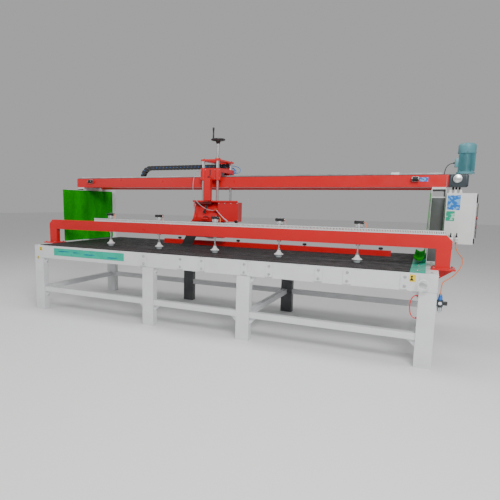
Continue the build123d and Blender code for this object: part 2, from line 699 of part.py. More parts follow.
with BuildPart() as lock_lever:
    pivot_x, pivot_z = lever_pivot
    bar("y", lever_pivot, 8, apron_y[0] - 12, apron_y[0] + 28)
    bar("y", lever_pivot, 13, apron_y[0] - 14, apron_y[0] - body_clearance)
    lever_plane = Plane.XZ.offset(-(apron_y[0] - 14))
    outline = [
        (pivot_x - 8, pivot_z + 3),
        (pivot_x + 8, pivot_z - 3),
        (pivot_x - 12, pivot_z - 66),
        (pivot_x - 26, pivot_z - 60),
    ]
    prism(lever_plane, outline, -8)
save(lock_lever.part, "lock_lever")

# ---------------------------------------------------------------- lifting head

head_plate_bottom = head_plate_top - head_plate_thickness
head_plate_x = (carriage_x - 225, carriage_x + 375)
head_plate_y = (rod_ys[0] - 30, rod_ys[1] + 30)
top_plate_bottom = top_plate_height - top_plate_thickness
with BuildPart() as guide_rods:
    for x in rod_xs:
        for y in rod_ys:
            bar("z", (x, y), rod_radius, head_plate_top, top_plate_bottom)
save(guide_rods.part, "guide_rods")

nut_height = 32
nut_radius = 34
with BuildPart() as top_plate:
    plate_edge = 26
    plate_x = (rod_xs[0] - plate_edge, rod_xs[1] + plate_edge)
    plate_y = (rod_ys[0] - plate_edge, rod_ys[1] + plate_edge)
    block(plate_x, plate_y, (top_plate_bottom, top_plate_height))
    bar("z", (carriage_x, screw_y), nut_radius, top_plate_height, top_plate_height + nut_height)
    for x in rod_xs:
        for y in rod_ys:
            bar("z", (x, y), 12, top_plate_height, top_plate_height + 8)
    window = 34
    for way in (-1, 1):
        near = screw_y + way * 50
        far = (rod_ys[0] + 30) if way < 0 else (rod_ys[1] - 30)
        window_y = (min(near, far), max(near, far))
        block((carriage_x - 60, carriage_x + 60), window_y, (top_plate_bottom - 1, top_plate_height + 1), mode=Mode.SUBTRACT)
    bore_top = top_plate_height + nut_height + 1
    bar("z", (carriage_x, screw_y), screw_bore, top_plate_bottom - 1, bore_top, mode=Mode.SUBTRACT)
save(top_plate.part, "top_plate")

hub_bottom = wheel_height - 50
with BuildPart() as lift_screw:
    bar("z", (carriage_x, screw_y), screw_radius, saddle_bottom + 4, hub_bottom)
    collar_bottom = saddle_top + body_clearance
    bar("z", (carriage_x, screw_y), screw_radius + 9, collar_bottom, collar_bottom + 12)
save(lift_screw.part, "lift_screw")

wheel_rim = 22
spoke_count = 3
knob_radius_on_wheel = wheel_radius - 15
knob_angle = math.radians(-117)
knob_x = carriage_x + knob_radius_on_wheel * math.cos(knob_angle)
knob_y = screw_y + knob_radius_on_wheel * math.sin(knob_angle)
knob_pin_radius = 4
with BuildPart() as handwheel:
    with Locations((carriage_x, screw_y, wheel_height)):
        Cylinder(wheel_radius, wheel_rim)
        Cylinder(wheel_radius - 26, wheel_rim + 2, mode=Mode.SUBTRACT)
        with PolarLocations((wheel_radius - 26) / 2 + 4, spoke_count, start_angle=30):
            Box(wheel_radius - 30, 20, wheel_rim - 8)
        Cylinder(26, wheel_rim)
    with Locations((carriage_x, screw_y, hub_bottom)):
        Cone(18, 40, wheel_height - hub_bottom - 8, align=(Align.CENTER, Align.CENTER, Align.MIN))
    knob_bore = knob_pin_radius + running_clearance
    bar("z", (knob_x, knob_y), knob_bore, wheel_height - 12, wheel_height + 12, mode=Mode.SUBTRACT)
save(handwheel.part, "handwheel")

with BuildPart() as crank_knob:
    knob_bottom_z = wheel_height + wheel_rim / 2 + body_clearance
    with Locations((knob_x, knob_y, knob_bottom_z)):
        Cone(9, 13, crank_top - 8 - knob_bottom_z, align=(Align.CENTER, Align.CENTER, Align.MIN))
    bar("z", (knob_x, knob_y), 13, crank_top - 8, crank_top)
    fillet(crank_knob.edges().filter_by(GeomType.CIRCLE).group_by(Axis.Z)[-1], 5)
    bar("z", (knob_x, knob_y), knob_pin_radius, wheel_height - 8, knob_bottom_z)
save(crank_knob.part, "crank_knob")

# Blade, arbor, guard and motor
blade_x = left + 1969
blade_z = 1095
blade_y = front + 1012
flange_radius = 60
flange_thickness = 6
guard_y = (front + 988, front + 1040)
guard_bottom = 940
guard_wall = 4
# Guard: a long low shroud with a neck that reaches up to the head plate, open below
guard_left = blade_radius + 115
guard_right = blade_radius + 18
guard_neck = blade_radius - 10
guard_shoulder = 250
guard_cavity = blade_z + blade_radius + 30 - guard_bottom
with BuildPart() as blade_guard:
    outline = [
        (blade_x - guard_left, guard_bottom),
        (blade_x + guard_right, guard_bottom),
        (blade_x + guard_right, guard_bottom + guard_shoulder - 35),
        (blade_x + guard_neck, guard_bottom + guard_shoulder),
        (blade_x + guard_neck, head_plate_bottom),
        (blade_x - guard_neck, head_plate_bottom),
        (blade_x - guard_neck, guard_bottom + guard_shoulder),
        (blade_x - guard_left, guard_bottom + guard_shoulder - 60),
    ]
    prism(Plane.XZ.offset(-guard_y[0]), outline, -(guard_y[1] - guard_y[0]))
    hollow = [
        (blade_x - guard_left + guard_wall, guard_bottom - 1),
        (blade_x + guard_right - guard_wall, guard_bottom - 1),
        (blade_x + guard_right - guard_wall, guard_bottom + guard_shoulder - 37),
        (blade_x + guard_neck - guard_wall, guard_bottom + guard_shoulder - 2),
        (blade_x + guard_neck - guard_wall, guard_bottom + guard_cavity),
        (blade_x - guard_neck + guard_wall, guard_bottom + guard_cavity),
        (blade_x - guard_neck + guard_wall, guard_bottom + guard_shoulder - 2),
        (blade_x - guard_left + guard_wall, guard_bottom + guard_shoulder - 63),
    ]
    cavity_y = guard_y[0] + guard_wall
    cavity_depth = guard_y[1] - guard_y[0] - 2 * guard_wall
    prism(Plane.XZ.offset(-cavity_y), hollow, -cavity_depth, mode=Mode.SUBTRACT)
    bar("y", (blade_x, blade_z), 22, guard_y[1] - guard_wall - 1, guard_y[1] + 1, mode=Mode.SUBTRACT)
save(blade_guard.part, "blade_guard")

with BuildPart() as saw_blade:
    bar("y", (blade_x, blade_z), blade_radius, blade_y, blade_y + blade_thickness)
    bar("y", (blade_x, blade_z), arbor_radius, blade_y - 1, blade_y + blade_thickness + 1, mode=Mode.SUBTRACT)
save(saw_blade.part, "saw_blade")

motor_bracket_y = (guard_y[1] + 6, guard_y[1] + 16)
saw_motor_y = (motor_bracket_y[1], motor_bracket_y[1] + 234)
saw_motor_radius = 85
arbor_back = saw_motor_y[0] + 30
with BuildPart() as blade_arbor:
    bar("y", (blade_x, blade_z), arbor_radius, blade_y - flange_thickness - 8, arbor_back)
    bar("y", (blade_x, blade_z), flange_radius, blade_y - flange_thickness, blade_y)
    flange_back = blade_y + blade_thickness
    bar("y", (blade_x, blade_z), flange_radius, flange_back, flange_back + flange_thickness)
save(blade_arbor.part, "blade_arbor")

arbor_bore = arbor_radius + running_clearance
post_y = (apron_y[0] - 76, apron_y[0] - 16)
post_top = beam_top - 12
with BuildPart() as head_plate:
    block(head_plate_x, head_plate_y, (head_plate_bottom, head_plate_top))
    tube((carriage_x - 44, carriage_x - 44 + post_size), post_y, (head_plate_top, post_top), "z", 4)
    bracket_x = (blade_x - 95, blade_x + 95)
    block(bracket_x, motor_bracket_y, (blade_z - 95, head_plate_bottom))
    bar("y", (blade_x, blade_z), arbor_bore, motor_bracket_y[0] - 1, motor_bracket_y[1] + 1, mode=Mode.SUBTRACT)
    for x in (bracket_x[0], bracket_x[1] - 10):
        outline_y = (motor_bracket_y[1], motor_bracket_y[1] + 120)
        block((x, x + 10), outline_y, (head_plate_bottom - 90, head_plate_bottom))
save(head_plate.part, "head_plate")

with BuildPart() as saw_motor:
    bar("y", (blade_x, blade_z), saw_motor_radius, saw_motor_y[0], saw_motor_y[1])
    bar("y", (blade_x, blade_z), arbor_bore, saw_motor_y[0] - 1, arbor_back + 1, mode=Mode.SUBTRACT)
    fillet(saw_motor.edges().filter_by(GeomType.CIRCLE).group_by(Axis.Y)[-1], 12)
save(saw_motor.part, "saw_motor")

# Front hood: a sloping shroud with side cheeks, open at the back and below
hood_x = (carriage_x - 217, carriage_x + 105)
hood_bottom = 1152
hood_wall = 4
hood_back = guard_y[0]
hood_front_low = rod_ys[0] - 25
hood_front_high = rod_ys[0] + 55
hood_knee = hood_bottom + 45
lever_boss = (carriage_x - 60, hood_knee + 65)
with BuildPart() as front_hood:
    side = [
        (hood_front_high, head_plate_bottom),
        (hood_front_low, hood_knee),
        (hood_front_low, hood_bottom),
        (hood_back, hood_bottom),
        (hood_back, head_plate_bottom),
    ]
    side_inner = [
        (hood_front_high + hood_wall, head_plate_bottom + 1),
        (hood_front_low + hood_wall, hood_knee),
        (hood_front_low + hood_wall, hood_bottom - 1),
        (hood_back + 1, hood_bottom - 1),
        (hood_back + 1, head_plate_bottom + 1),
    ]
    prism(Plane.YZ.offset(hood_x[0]), side, hood_x[1] - hood_x[0])
    prism(Plane.YZ.offset(hood_x[0] + hood_wall), side_inner, hood_x[1] - hood_x[0] - 2 * hood_wall, mode=Mode.SUBTRACT)
    flare = [(hood_x[0], hood_bottom + 35), (hood_x[0] - 22, hood_bottom), (hood_x[0], hood_bottom)]
    prism(Plane.XZ.offset(-hood_front_low), flare, -(hood_back - hood_front_low))
    bar("y", lever_boss, 16, hood_front_low, hood_front_high)
    bar("y", lever_boss, 6 + running_clearance, hood_front_low - 1, hood_front_low + 40, mode=Mode.SUBTRACT)
    handle_x = (carriage_x - 83, carriage_x + 1)
    handle_z = hood_bottom + 30
    for x in handle_x:
        bar("y", (x, handle_z), 5, hood_front_low - 30, hood_front_low)
    bar("x", (hood_front_low - 30, handle_z), 5, handle_x[0] - 5, handle_x[1] + 5)
    box_y = (rod_ys[0] + 60, rod_ys[0] + 115)
    block((hood_x[0] - 50, hood_x[0]), box_y, (hood_bottom + 118, hood_bottom + 208))
    valve_x = hood_x[1] - 12
    valve_height = hood_bottom + 130
    bar("x", (hood_front_low + 4, valve_height), 16, valve_x - 26, valve_x + 18)
    block((valve_x - 12, valve_x + 11), (hood_front_low + 4, hood_front_low + 34), (valve_height - 10, valve_height + 10))
save(front_hood.part, "front_hood")

with BuildPart() as hood_lever:
    boss_x, boss_z = lever_boss
    bar("y", lever_boss, 6, hood_front_low - 8, hood_front_low + 38)
    bar("y", lever_boss, 15, hood_front_low - 20, hood_front_low - body_clearance)
    outline = [(boss_x - 10, boss_z), (boss_x + 10, boss_z - 6), (boss_x + 46, boss_z + 74), (boss_x + 34, boss_z + 80)]
    prism(Plane.XZ.offset(-(hood_front_low - 20)), outline, -10)
save(hood_lever.part, "hood_lever")

cover_x = (carriage_x + 113, head_plate_x[1])
cover_y = (rod_ys[0] - 20, rod_ys[0] + 110)
cover_wall = 3
with BuildPart() as side_cover:
    block(cover_x, cover_y, (hood_bottom, head_plate_bottom))
    inner_x = (cover_x[0] + cover_wall, cover_x[1] - cover_wall)
    inner_z = (hood_bottom - 1, head_plate_bottom + 1)
    block(inner_x, (cover_y[0] + cover_wall, cover_y[1] + 1), inner_z, mode=Mode.SUBTRACT)
    for index in range(4):
        x = cover_x[0] + 18 + index * (cover_x[1] - cover_x[0] - 36) / 3
        bar("y", (x, head_plate_bottom - 12), 7, cover_y[0] - 5, cover_y[0])
    knob_place = (cover_x[1] - 8, hood_bottom + 6)
    bar("y", knob_place, 18, cover_y[0] - 22, cover_y[0] + 10)
save(side_cover.part, "side_cover")

flap_width = 180
flap_thickness = 5
flap_y = (guard_y[0] - 66, guard_y[0] - 66 + flap_width)
with BuildPart() as splash_flap:
    flap_x = blade_x - guard_left - body_clearance
    flap_bottom = mat_top + 8
    outline = [
        (flap_x, guard_bottom + 30),
        (flap_x - flap_thickness, guard_bottom + 30),
        (flap_x - flap_thickness - 45, flap_bottom + 30),
        (flap_x - flap_thickness - 30, flap_bottom),
        (flap_x + 15, flap_bottom - 3),
        (flap_x + 15, flap_bottom + 2),
        (flap_x - 30, flap_bottom + 5),
        (flap_x - 45, flap_bottom + 30),
    ]
    prism(Plane.XZ.offset(-flap_y[0]), outline, -flap_width)
save(splash_flap.part, "splash_flap")

# ---------------------------------------------------------------- energy chain

bend_x = left + chain_bend_place
with BuildPart() as chain_bend:
    with BuildSketch(Plane.XZ.offset(-chain_y[0])):
        with Locations((bend_x, (chain_low + chain_high) / 2)):
            Circle(chain_bend_radius + chain_height / 2)
            Circle(chain_bend_radius - chain_height / 2, mode=Mode.SUBTRACT)
            Rectangle(400, 400, align=(Align.MIN, Align.CENTER), mode=Mode.SUBTRACT)
    extrude(amount=-chain_width)
save(chain_bend.part, "chain_bend")

half_height = chain_height / 2
with BuildPart() as chain_upper_run:
    block((bend_x, chain_end_x), chain_y, (chain_high - half_height, chain_high + half_height))
save(chain_upper_run.part, "chain_upper_run")

with BuildPart() as chain_lower_run:
    block((bend_x, left + chain_fixed_place), chain_y, (chain_low - half_height, chain_low + half_height))
save(chain_lower_run.part, "chain_lower_run")

# ---------------------------------------------------------------- hoses and cables


def bend_radii(points):
    """Largest arc at each inner point that leaves a tenth of the shorter run straight."""
    radii = []
    for before, here, after in zip(points, points[1:], points[2:]):
        first = Vector(*here) - Vector(*before)
        second = Vector(*after) - Vector(*here)
        half_turn = math.radians(first.get_angle(second)) / 2
        radii.append(0.45 * min(first.length, second.length) / math.tan(half_turn))
    return radii


def build_cord(name, points, radius, end_x):
    """Round hose along straight runs joined by tangent arcs. Points are from the table's front corner at end_x."""
    route = [(end_x + x, front + y, z) for x, y, z in points]
    radii = bend_radii(route)
    start = Vector(*route[0])
    with BuildPart() as cord:
        with BuildLine():
            path = FilletPolyline(*route, radius=radii)
        with BuildSketch(Plane(start, z_dir=Vector(*route[1]) - start)):
            Circle(radius)
        sweep()
    print(name, "length", round(path.length, 1), "radii", [round(value) for value in radii])
    print(name, "volume", round(cord.part.volume), "expected", round(math.pi * radius**2 * path.length))
    save(cord.part, name)


air_hose_points = [
    (145, 816, 1034.7),
    (145, 816, 985),
    (162, 765, 945),
    (185, 690, 918),
    (200, 600, 902),
    (195, 480, 860),
    (162, 380, 810),
    (110, 280, 762),
    (60, 180, 745),
    (34, 92, 738),
    (26.5, 40, 700),
    (26.5, 40, 650.3),
]
build_cord("air_hose", air_hose_points, 4, right)

water_hose_points = [
    (1894.7, 860, 1762),
    (1846, 860, 1762),
    (1818, 848, 1715),
    (1808, 834, 1640),
    (1810, 820, 1555),
    (1824, 812, 1470),
    (1862, 808, 1395),
    (1925, 806, 1342),
    (1988, 814, 1300),
    (2045, 849, 1282),
    (2091.7, 849, 1282),
]
build_cord("water_hose", water_hose_points, 4, left)

motor_cable_points = [
    (82.7, 1000, beam_top + 117),
    (46, 1000, beam_top + 114),
    (15, 1000, beam_top + 85),
    (1, 1000, beam_top + 43),
    (0, 1000, beam_top + 0.3),
]
build_cord("motor_cable", motor_cable_points, 4, right)

supply_hose_points = [
    (2072.3, 1355, 1855),
    (2125, 1355, 1852),
    (2180, 1348, 1838),
    (2228, 1330, 1810),
    (2238, 1292, 1768),
    (2205, 1265, 1750),
    (2155.3, 1265, 1750),
]
build_cord("supply_hoses", supply_hose_points, 4, left)
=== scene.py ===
import math
import random

import bpy
from mathutils import Matrix, Vector


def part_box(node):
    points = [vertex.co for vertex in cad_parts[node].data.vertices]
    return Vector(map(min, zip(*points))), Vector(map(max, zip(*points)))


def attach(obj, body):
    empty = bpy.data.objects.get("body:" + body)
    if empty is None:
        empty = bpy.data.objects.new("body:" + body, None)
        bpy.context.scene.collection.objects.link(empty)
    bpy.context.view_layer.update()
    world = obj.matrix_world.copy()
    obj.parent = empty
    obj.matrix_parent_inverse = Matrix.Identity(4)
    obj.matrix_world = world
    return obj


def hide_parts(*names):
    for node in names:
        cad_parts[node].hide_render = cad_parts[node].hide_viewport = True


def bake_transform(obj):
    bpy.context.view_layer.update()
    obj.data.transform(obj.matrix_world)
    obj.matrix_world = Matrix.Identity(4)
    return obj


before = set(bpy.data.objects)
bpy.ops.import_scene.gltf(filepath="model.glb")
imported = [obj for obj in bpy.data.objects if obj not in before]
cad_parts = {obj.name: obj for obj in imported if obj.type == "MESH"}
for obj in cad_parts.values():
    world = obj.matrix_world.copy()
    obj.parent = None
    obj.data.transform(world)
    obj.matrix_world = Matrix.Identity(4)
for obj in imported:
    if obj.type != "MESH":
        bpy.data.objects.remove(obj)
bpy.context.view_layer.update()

random.seed(7)
SCENE = bpy.context.scene

TABLE_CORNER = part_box("table_deck")[0]

# Places that several pieces share, in millimetres from the table's front left corner at floor level.
RODS_X, RODS_Y = (1930, 2120), (870, 1270)
SCREW = (2025, 1070)  # axis of the lift screw and handwheel, X and Y
BLADE = (1969, 1095)  # axis of the blade and saw motor, X and Z
CLAMPS_X, CLAMPS_Y = (889, 1597, 2326, 3062, 3847), 390
FENCE_KNOBS_X, FENCE_KNOBS_Y = (1428, 2281.5, 3135, 3988.5), 1180
IDLER, OUTPUT, SPROCKET_RADIUS = (-40, 1645), (4668, 1645), 48  # sprocket axes, X and Z, and pitch radius
MOTOR = (4731, 1000)  # axis of the drive motor, X and Y
SERVICE = (4576.5, 40)  # axis of the air service unit, X and Y
HEAD_PLATE_TOP = 1402
ENERGY_UPPER_Z, ENERGY_LOWER_Z, ENERGY_BEND_X, ENERGY_Y = 1847, 1577, 856, 1353
CURTAIN_WIDTH, CURTAIN_TOP = 1041, 1519
SHEET_THICKNESS = 3
HOSE_RADIUS = 4


def at(x, y, z):
    """Point in the shared frame, in metres, from millimetres."""
    return Vector((TABLE_CORNER.x + x / 1000, TABLE_CORNER.y + y / 1000, z / 1000))


def span(node):
    """Box of a CAD node as (low, high) in millimetres from the table's front left corner."""
    low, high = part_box(node)
    corner = Vector((TABLE_CORNER.x, TABLE_CORNER.y, 0))
    return (low - corner) * 1000, (high - corner) * 1000


def around(centre, radius, angle):
    """Point on a circle."""
    return centre[0] + radius * math.cos(angle), centre[1] + radius * math.sin(angle)


def placed(along, position, a, b):
    """Point with one coordinate along an axis and the two others in order."""
    return {"x": (position, a, b), "y": (a, position, b), "z": (a, b, position)}[along]


def evaluated(item):
    """Mesh of an object with its modifiers applied."""
    bpy.context.view_layer.update()
    return bpy.data.meshes.new_from_object(item.evaluated_get(bpy.context.evaluated_depsgraph_get()))


def smoothed(item, degrees):
    """Shade an object smooth, with sharp edges above an angle."""
    item.data.polygons.foreach_set("use_smooth", [True] * len(item.data.polygons))
    item.data.set_sharp_from_angle(angle=math.radians(degrees))


# ---------------------------------------------------------------- camera

camera_data = bpy.data.cameras.new("camera")
camera = bpy.data.objects.new("camera", camera_data)
SCENE.collection.objects.link(camera)
camera_data.lens = 32.05
camera_data.sensor_width = 36
camera_data.shift_x = 0.0775
camera_data.shift_y = 0.030
camera_data.clip_end = 100
yaw, pitch, roll = math.radians(25.63), math.radians(-7.8), math.radians(-0.98)
turn = Matrix.Rotation(yaw, 4, "Z") @ Matrix.Rotation(pitch, 4, "X") @ Matrix.Rotation(roll, 4, "Y")
level = Matrix.Rotation(math.radians(90), 4, "X")
camera.matrix_world = Matrix.Translation((2.0636, -4.8642, 1.3594)) @ turn @ level
SCENE.camera = camera

# ---------------------------------------------------------------- materials


def new_material(name):
    material = bpy.data.materials.new(name)
    material.use_nodes = True
    tree = material.node_tree
    tree.nodes.clear()
    out = tree.nodes.new("ShaderNodeOutputMaterial")
    shader = tree.nodes.new("ShaderNodeBsdfPrincipled")
    tree.links.new(shader.outputs["BSDF"], out.inputs["Surface"])
    return material, tree, shader


def noise(tree, scale, detail=3, stretch=None):
    """Noise in object space, stretched along an axis if asked."""
    coords = tree.nodes.new("ShaderNodeTexCoord")
    texture = tree.nodes.new("ShaderNodeTexNoise")
    texture.inputs["Scale"].default_value = scale
    texture.inputs["Detail"].default_value = detail
    if stretch:
        mapping = tree.nodes.new("ShaderNodeMapping")
        mapping.inputs["Scale"].default_value = stretch
        tree.links.new(coords.outputs["Object"], mapping.inputs["Vector"])
        tree.links.new(mapping.outputs["Vector"], texture.inputs["Vector"])
    else:
        tree.links.new(coords.outputs["Object"], texture.inputs["Vector"])
    return texture.outputs["Fac"]


def ramp(tree, factor, low, high, first, second):
    """Colour or grey between two values of a factor."""
    node = tree.nodes.new("ShaderNodeValToRGB")
    for element, position, value in zip(node.color_ramp.elements, (low, high), (first, second)):
        element.position = position
        element.color = (*value, 1) if hasattr(value, "__len__") else (value, value, value, 1)
    tree.links.new(factor, node.inputs["Fac"])
    return node.outputs["Color"]


def mix(tree, factor, first, second):
    """Mix of two colours or sockets."""
    node = tree.nodes.new("ShaderNodeMix")
    node.data_type = "RGBA"
    tree.links.new(factor, node.inputs["Factor"])
    for socket, value in (("A", first), ("B", second)):
        target = [item for item in node.inputs if item.name == socket and item.type == "RGBA"][0]
        if hasattr(value, "is_linked"):
            tree.links.new(value, target)
        else:
            target.default_value = (*value, 1)
    return [item for item in node.outputs if item.type == "RGBA"][0]


def add_bump(tree, shader, height, strength, distance):
    bump = tree.nodes.new("ShaderNodeBump")
    bump.inputs["Strength"].default_value = strength
    bump.inputs["Distance"].default_value = distance
    tree.links.new(height, bump.inputs["Height"])
    tree.links.new(bump.outputs["Normal"], shader.inputs["Normal"])
    return bump


def scaled(colour, amount):
    """Lighter or darker colour."""
    return tuple(min(1.0, channel * amount) for channel in colour)


def surface(name, colour, rough, metal=0.0, mottle=0.08, mottle_scale=5, grain=0.1, grain_scale=300,
            stretch=None, coat=0.0, edge=0.0012, dust=0.0):
    """Everyday surface: slightly uneven colour and gloss, fine grain, softened edges, some dust."""
    material, tree, shader = new_material(name)
    broad = noise(tree, mottle_scale, 5)
    colours = ramp(tree, broad, 0.3, 0.7, scaled(colour, 1 - mottle), scaled(colour, 1 + mottle))
    if dust:
        grime = ramp(tree, noise(tree, 2.3, 8), 0.52, 0.75, 0.0, dust)
        colours = mix(tree, grime, colours, (0.42, 0.40, 0.37))
    tree.links.new(colours, shader.inputs["Base Color"])
    gloss = ramp(tree, noise(tree, mottle_scale * 3, 6), 0.3, 0.75, max(0.03, rough - 0.07), min(1, rough + 0.1))
    tree.links.new(gloss, shader.inputs["Roughness"])
    shader.inputs["Metallic"].default_value = metal
    shader.inputs["Coat Weight"].default_value = coat
    bump = add_bump(tree, shader, noise(tree, grain_scale, 2, stretch), grain, 0.0006)
    if edge:
        rounded = tree.nodes.new("ShaderNodeBevel")
        rounded.samples = 4
        rounded.inputs["Radius"].default_value = edge
        tree.links.new(rounded.outputs["Normal"], bump.inputs["Normal"])
    return material


# Name: colour, roughness and what else differs from the usual surface
SURFACES = {
    "red_paint": ((0.66, 0.004, 0.007), 0.34, dict(mottle=0.03, mottle_scale=3, grain=0.08, grain_scale=120,
                  coat=0.15)),
    "grey_paint": ((0.70, 0.71, 0.72), 0.42, dict(mottle=0.05, grain=0.14, grain_scale=220, dust=0.10)),
    "cream_paint": ((0.72, 0.73, 0.72), 0.45, dict(mottle=0.04, grain=0.25, grain_scale=500)),
    "dark_paint": ((0.035, 0.05, 0.06), 0.38, dict(grain=0.5, grain_scale=180)),
    "blue_grey_paint": ((0.09, 0.27, 0.31), 0.40, dict(grain=0.4, grain_scale=220)),
    "teal_sheet": ((0.0, 0.36, 0.24), 0.35, dict(mottle=0.12, dust=0.2)),
    "black_rubber": ((0.022, 0.022, 0.023), 0.72, dict(mottle=0.2, grain=0.4, grain_scale=700)),
    "white_plastic": ((0.74, 0.75, 0.76), 0.45, dict(mottle=0.03, grain_scale=600)),
    "black_plastic": ((0.016, 0.016, 0.018), 0.35, dict(mottle=0.15, grain=0.2, grain_scale=900)),
    "red_plastic": ((0.70, 0.012, 0.015), 0.25, dict(mottle=0.03, grain_scale=900)),
    "blue_plastic": ((0.01, 0.16, 0.62), 0.3, dict(mottle=0.05, grain_scale=800)),
    "orange_hose": ((0.85, 0.18, 0.03), 0.38, dict(mottle=0.06, grain_scale=900, edge=0)),
    "grey_hose": ((0.34, 0.36, 0.38), 0.40, dict(mottle=0.06, grain_scale=900, edge=0)),
    "black_hose": ((0.02, 0.02, 0.022), 0.45, dict(mottle=0.1, grain_scale=900, edge=0)),
    "blue_hose": ((0.01, 0.14, 0.50), 0.35, dict(mottle=0.06, grain_scale=900, edge=0)),
    "aluminium": ((0.74, 0.75, 0.76), 0.32, dict(metal=1, grain=0.15, grain_scale=500, stretch=(1, 1, 0.05))),
    "steel": ((0.52, 0.53, 0.54), 0.34, dict(metal=1, mottle=0.14, grain=0.3, grain_scale=700, stretch=(0.1, 1, 1))),
    "chrome": ((0.82, 0.82, 0.84), 0.10, dict(metal=1, mottle=0.02, grain=0.05, grain_scale=500)),
    "oily_steel": ((0.12, 0.115, 0.11), 0.38, dict(metal=0.8, mottle=0.3, mottle_scale=60, grain=0.4)),
    "weld": ((0.55, 0.56, 0.57), 0.45, dict(mottle=0.1, mottle_scale=60, grain=0.4, grain_scale=300)),
    "green_plastic": ((0.01, 0.33, 0.10), 0.35, dict(mottle=0.06, grain_scale=700)),
    "yellow_label": ((0.85, 0.62, 0.02), 0.4, dict(mottle=0.04, grain_scale=800, edge=0)),
    "clear_cup": ((0.55, 0.60, 0.62), 0.25, dict(mottle=0.08, grain_scale=700)),
    # Dark grey that stands in for painted shade on faces lying in shadow, with some dust.
    "painted_shade_grey": ((0.075, 0.08, 0.085), 0.45, dict(mottle=0.2, grain=0.2, dust=0.15)),
    "grey_plastic": ((0.16, 0.165, 0.17), 0.4, dict(mottle=0.05, grain_scale=700)),
    "brass_nut": ((0.62, 0.36, 0.12), 0.3, dict(metal=1, mottle=0.1, grain_scale=600)),
    # Dark red that stands in for painted shade on red paint, under an overhang and along a lower edge.
    "painted_shade_red": ((0.16, 0.006, 0.008), 0.45, dict(mottle=0.1)),
    "banner_mark": ((0.0, 0.09, 0.30), 0.35, dict(edge=0)),
}


def mat_material():
    """Dark ribbed rubber with pale stone dust caught in its ribs and lighter lengthwise streaks of painted sheen."""
    material, tree, shader = new_material("mat_rubber")
    broad = ramp(tree, noise(tree, 2.5, 6, (0.5, 2.5, 1)), 0.35, 0.7, (0.010, 0.010, 0.011), (0.030, 0.031, 0.033))
    specks = ramp(tree, noise(tree, 90, 6), 0.60, 0.68, 0.0, 0.55)
    colours = mix(tree, specks, broad, (0.16, 0.165, 0.17))
    # Lighter streaks along the mat: painted sheen.
    sheen_streaks = ramp(tree, noise(tree, 3, 8, (1, 7, 1)), 0.55, 0.75, 0.0, 0.35)
    colours = mix(tree, sheen_streaks, colours, (0.10, 0.103, 0.107))
    tree.links.new(colours, shader.inputs["Base Color"])
    tree.links.new(ramp(tree, noise(tree, 12, 6), 0.3, 0.7, 0.45, 0.8), shader.inputs["Roughness"])
    add_bump(tree, shader, noise(tree, 240, 4), 0.5, 0.001)
    return material


def turf_material():
    """Artificial turf seen as a fabric: many greens, darker between the tufts."""
    material, tree, shader = new_material("turf")
    tufts = ramp(tree, noise(tree, 260, 4), 0.35, 0.68, (0.0, 0.09, 0.0), (0.0, 0.52, 0.004))
    patches = ramp(tree, noise(tree, 7, 6, (1, 1, 0.4)), 0.4, 0.75, 0.0, 0.6)
    colours = mix(tree, patches, tufts, (0.0, 0.62, 0.004))
    tree.links.new(colours, shader.inputs["Base Color"])
    shader.inputs["Roughness"].default_value = 0.85
    shader.inputs["Specular IOR Level"].default_value = 0.1
    add_bump(tree, shader, noise(tree, 320, 3), 1.0, 0.004)
    return material


def sticker_material(name, ground, mark, scale, seed):
    """Printed label with soft generic shapes and no lettering."""
    material, tree, shader = new_material(name)
    pattern = ramp(tree, noise(tree, scale, 1, (1 + seed, 1.7, 2.3)), 0.52, 0.54, 0.0, 1.0)
    tree.links.new(mix(tree, pattern, ground, mark), shader.inputs["Base Color"])
    tree.links.new(ramp(tree, noise(tree, 60, 4), 0.3, 0.7, 0.25, 0.4), shader.inputs["Roughness"])
    return material


MATERIALS = {name: surface(name, colour, rough, **others) for name, (colour, rough, others) in SURFACES.items()}
MATERIALS["mat_rubber"] = mat_material()
MATERIALS["turf"] = turf_material()
MATERIALS["banner"] = sticker_material("banner", (0.0, 0.44, 0.30), (0.0, 0.48, 0.33), 4.5, 0.4)
MATERIALS["blue_sticker"] = sticker_material("blue_sticker", (0.01, 0.17, 0.60), (0.20, 0.45, 0.78), 22, 0.9)
MATERIALS["green_sticker"] = sticker_material("green_sticker", (0.0, 0.36, 0.22), (0.45, 0.68, 0.56), 18, 0.2)

# ---------------------------------------------------------------- building pieces


BOX_FACES = [(0, 1, 3, 2), (4, 6, 7, 5), (0, 4, 5, 1), (2, 3, 7, 6), (0, 2, 6, 4), (1, 5, 7, 3)]


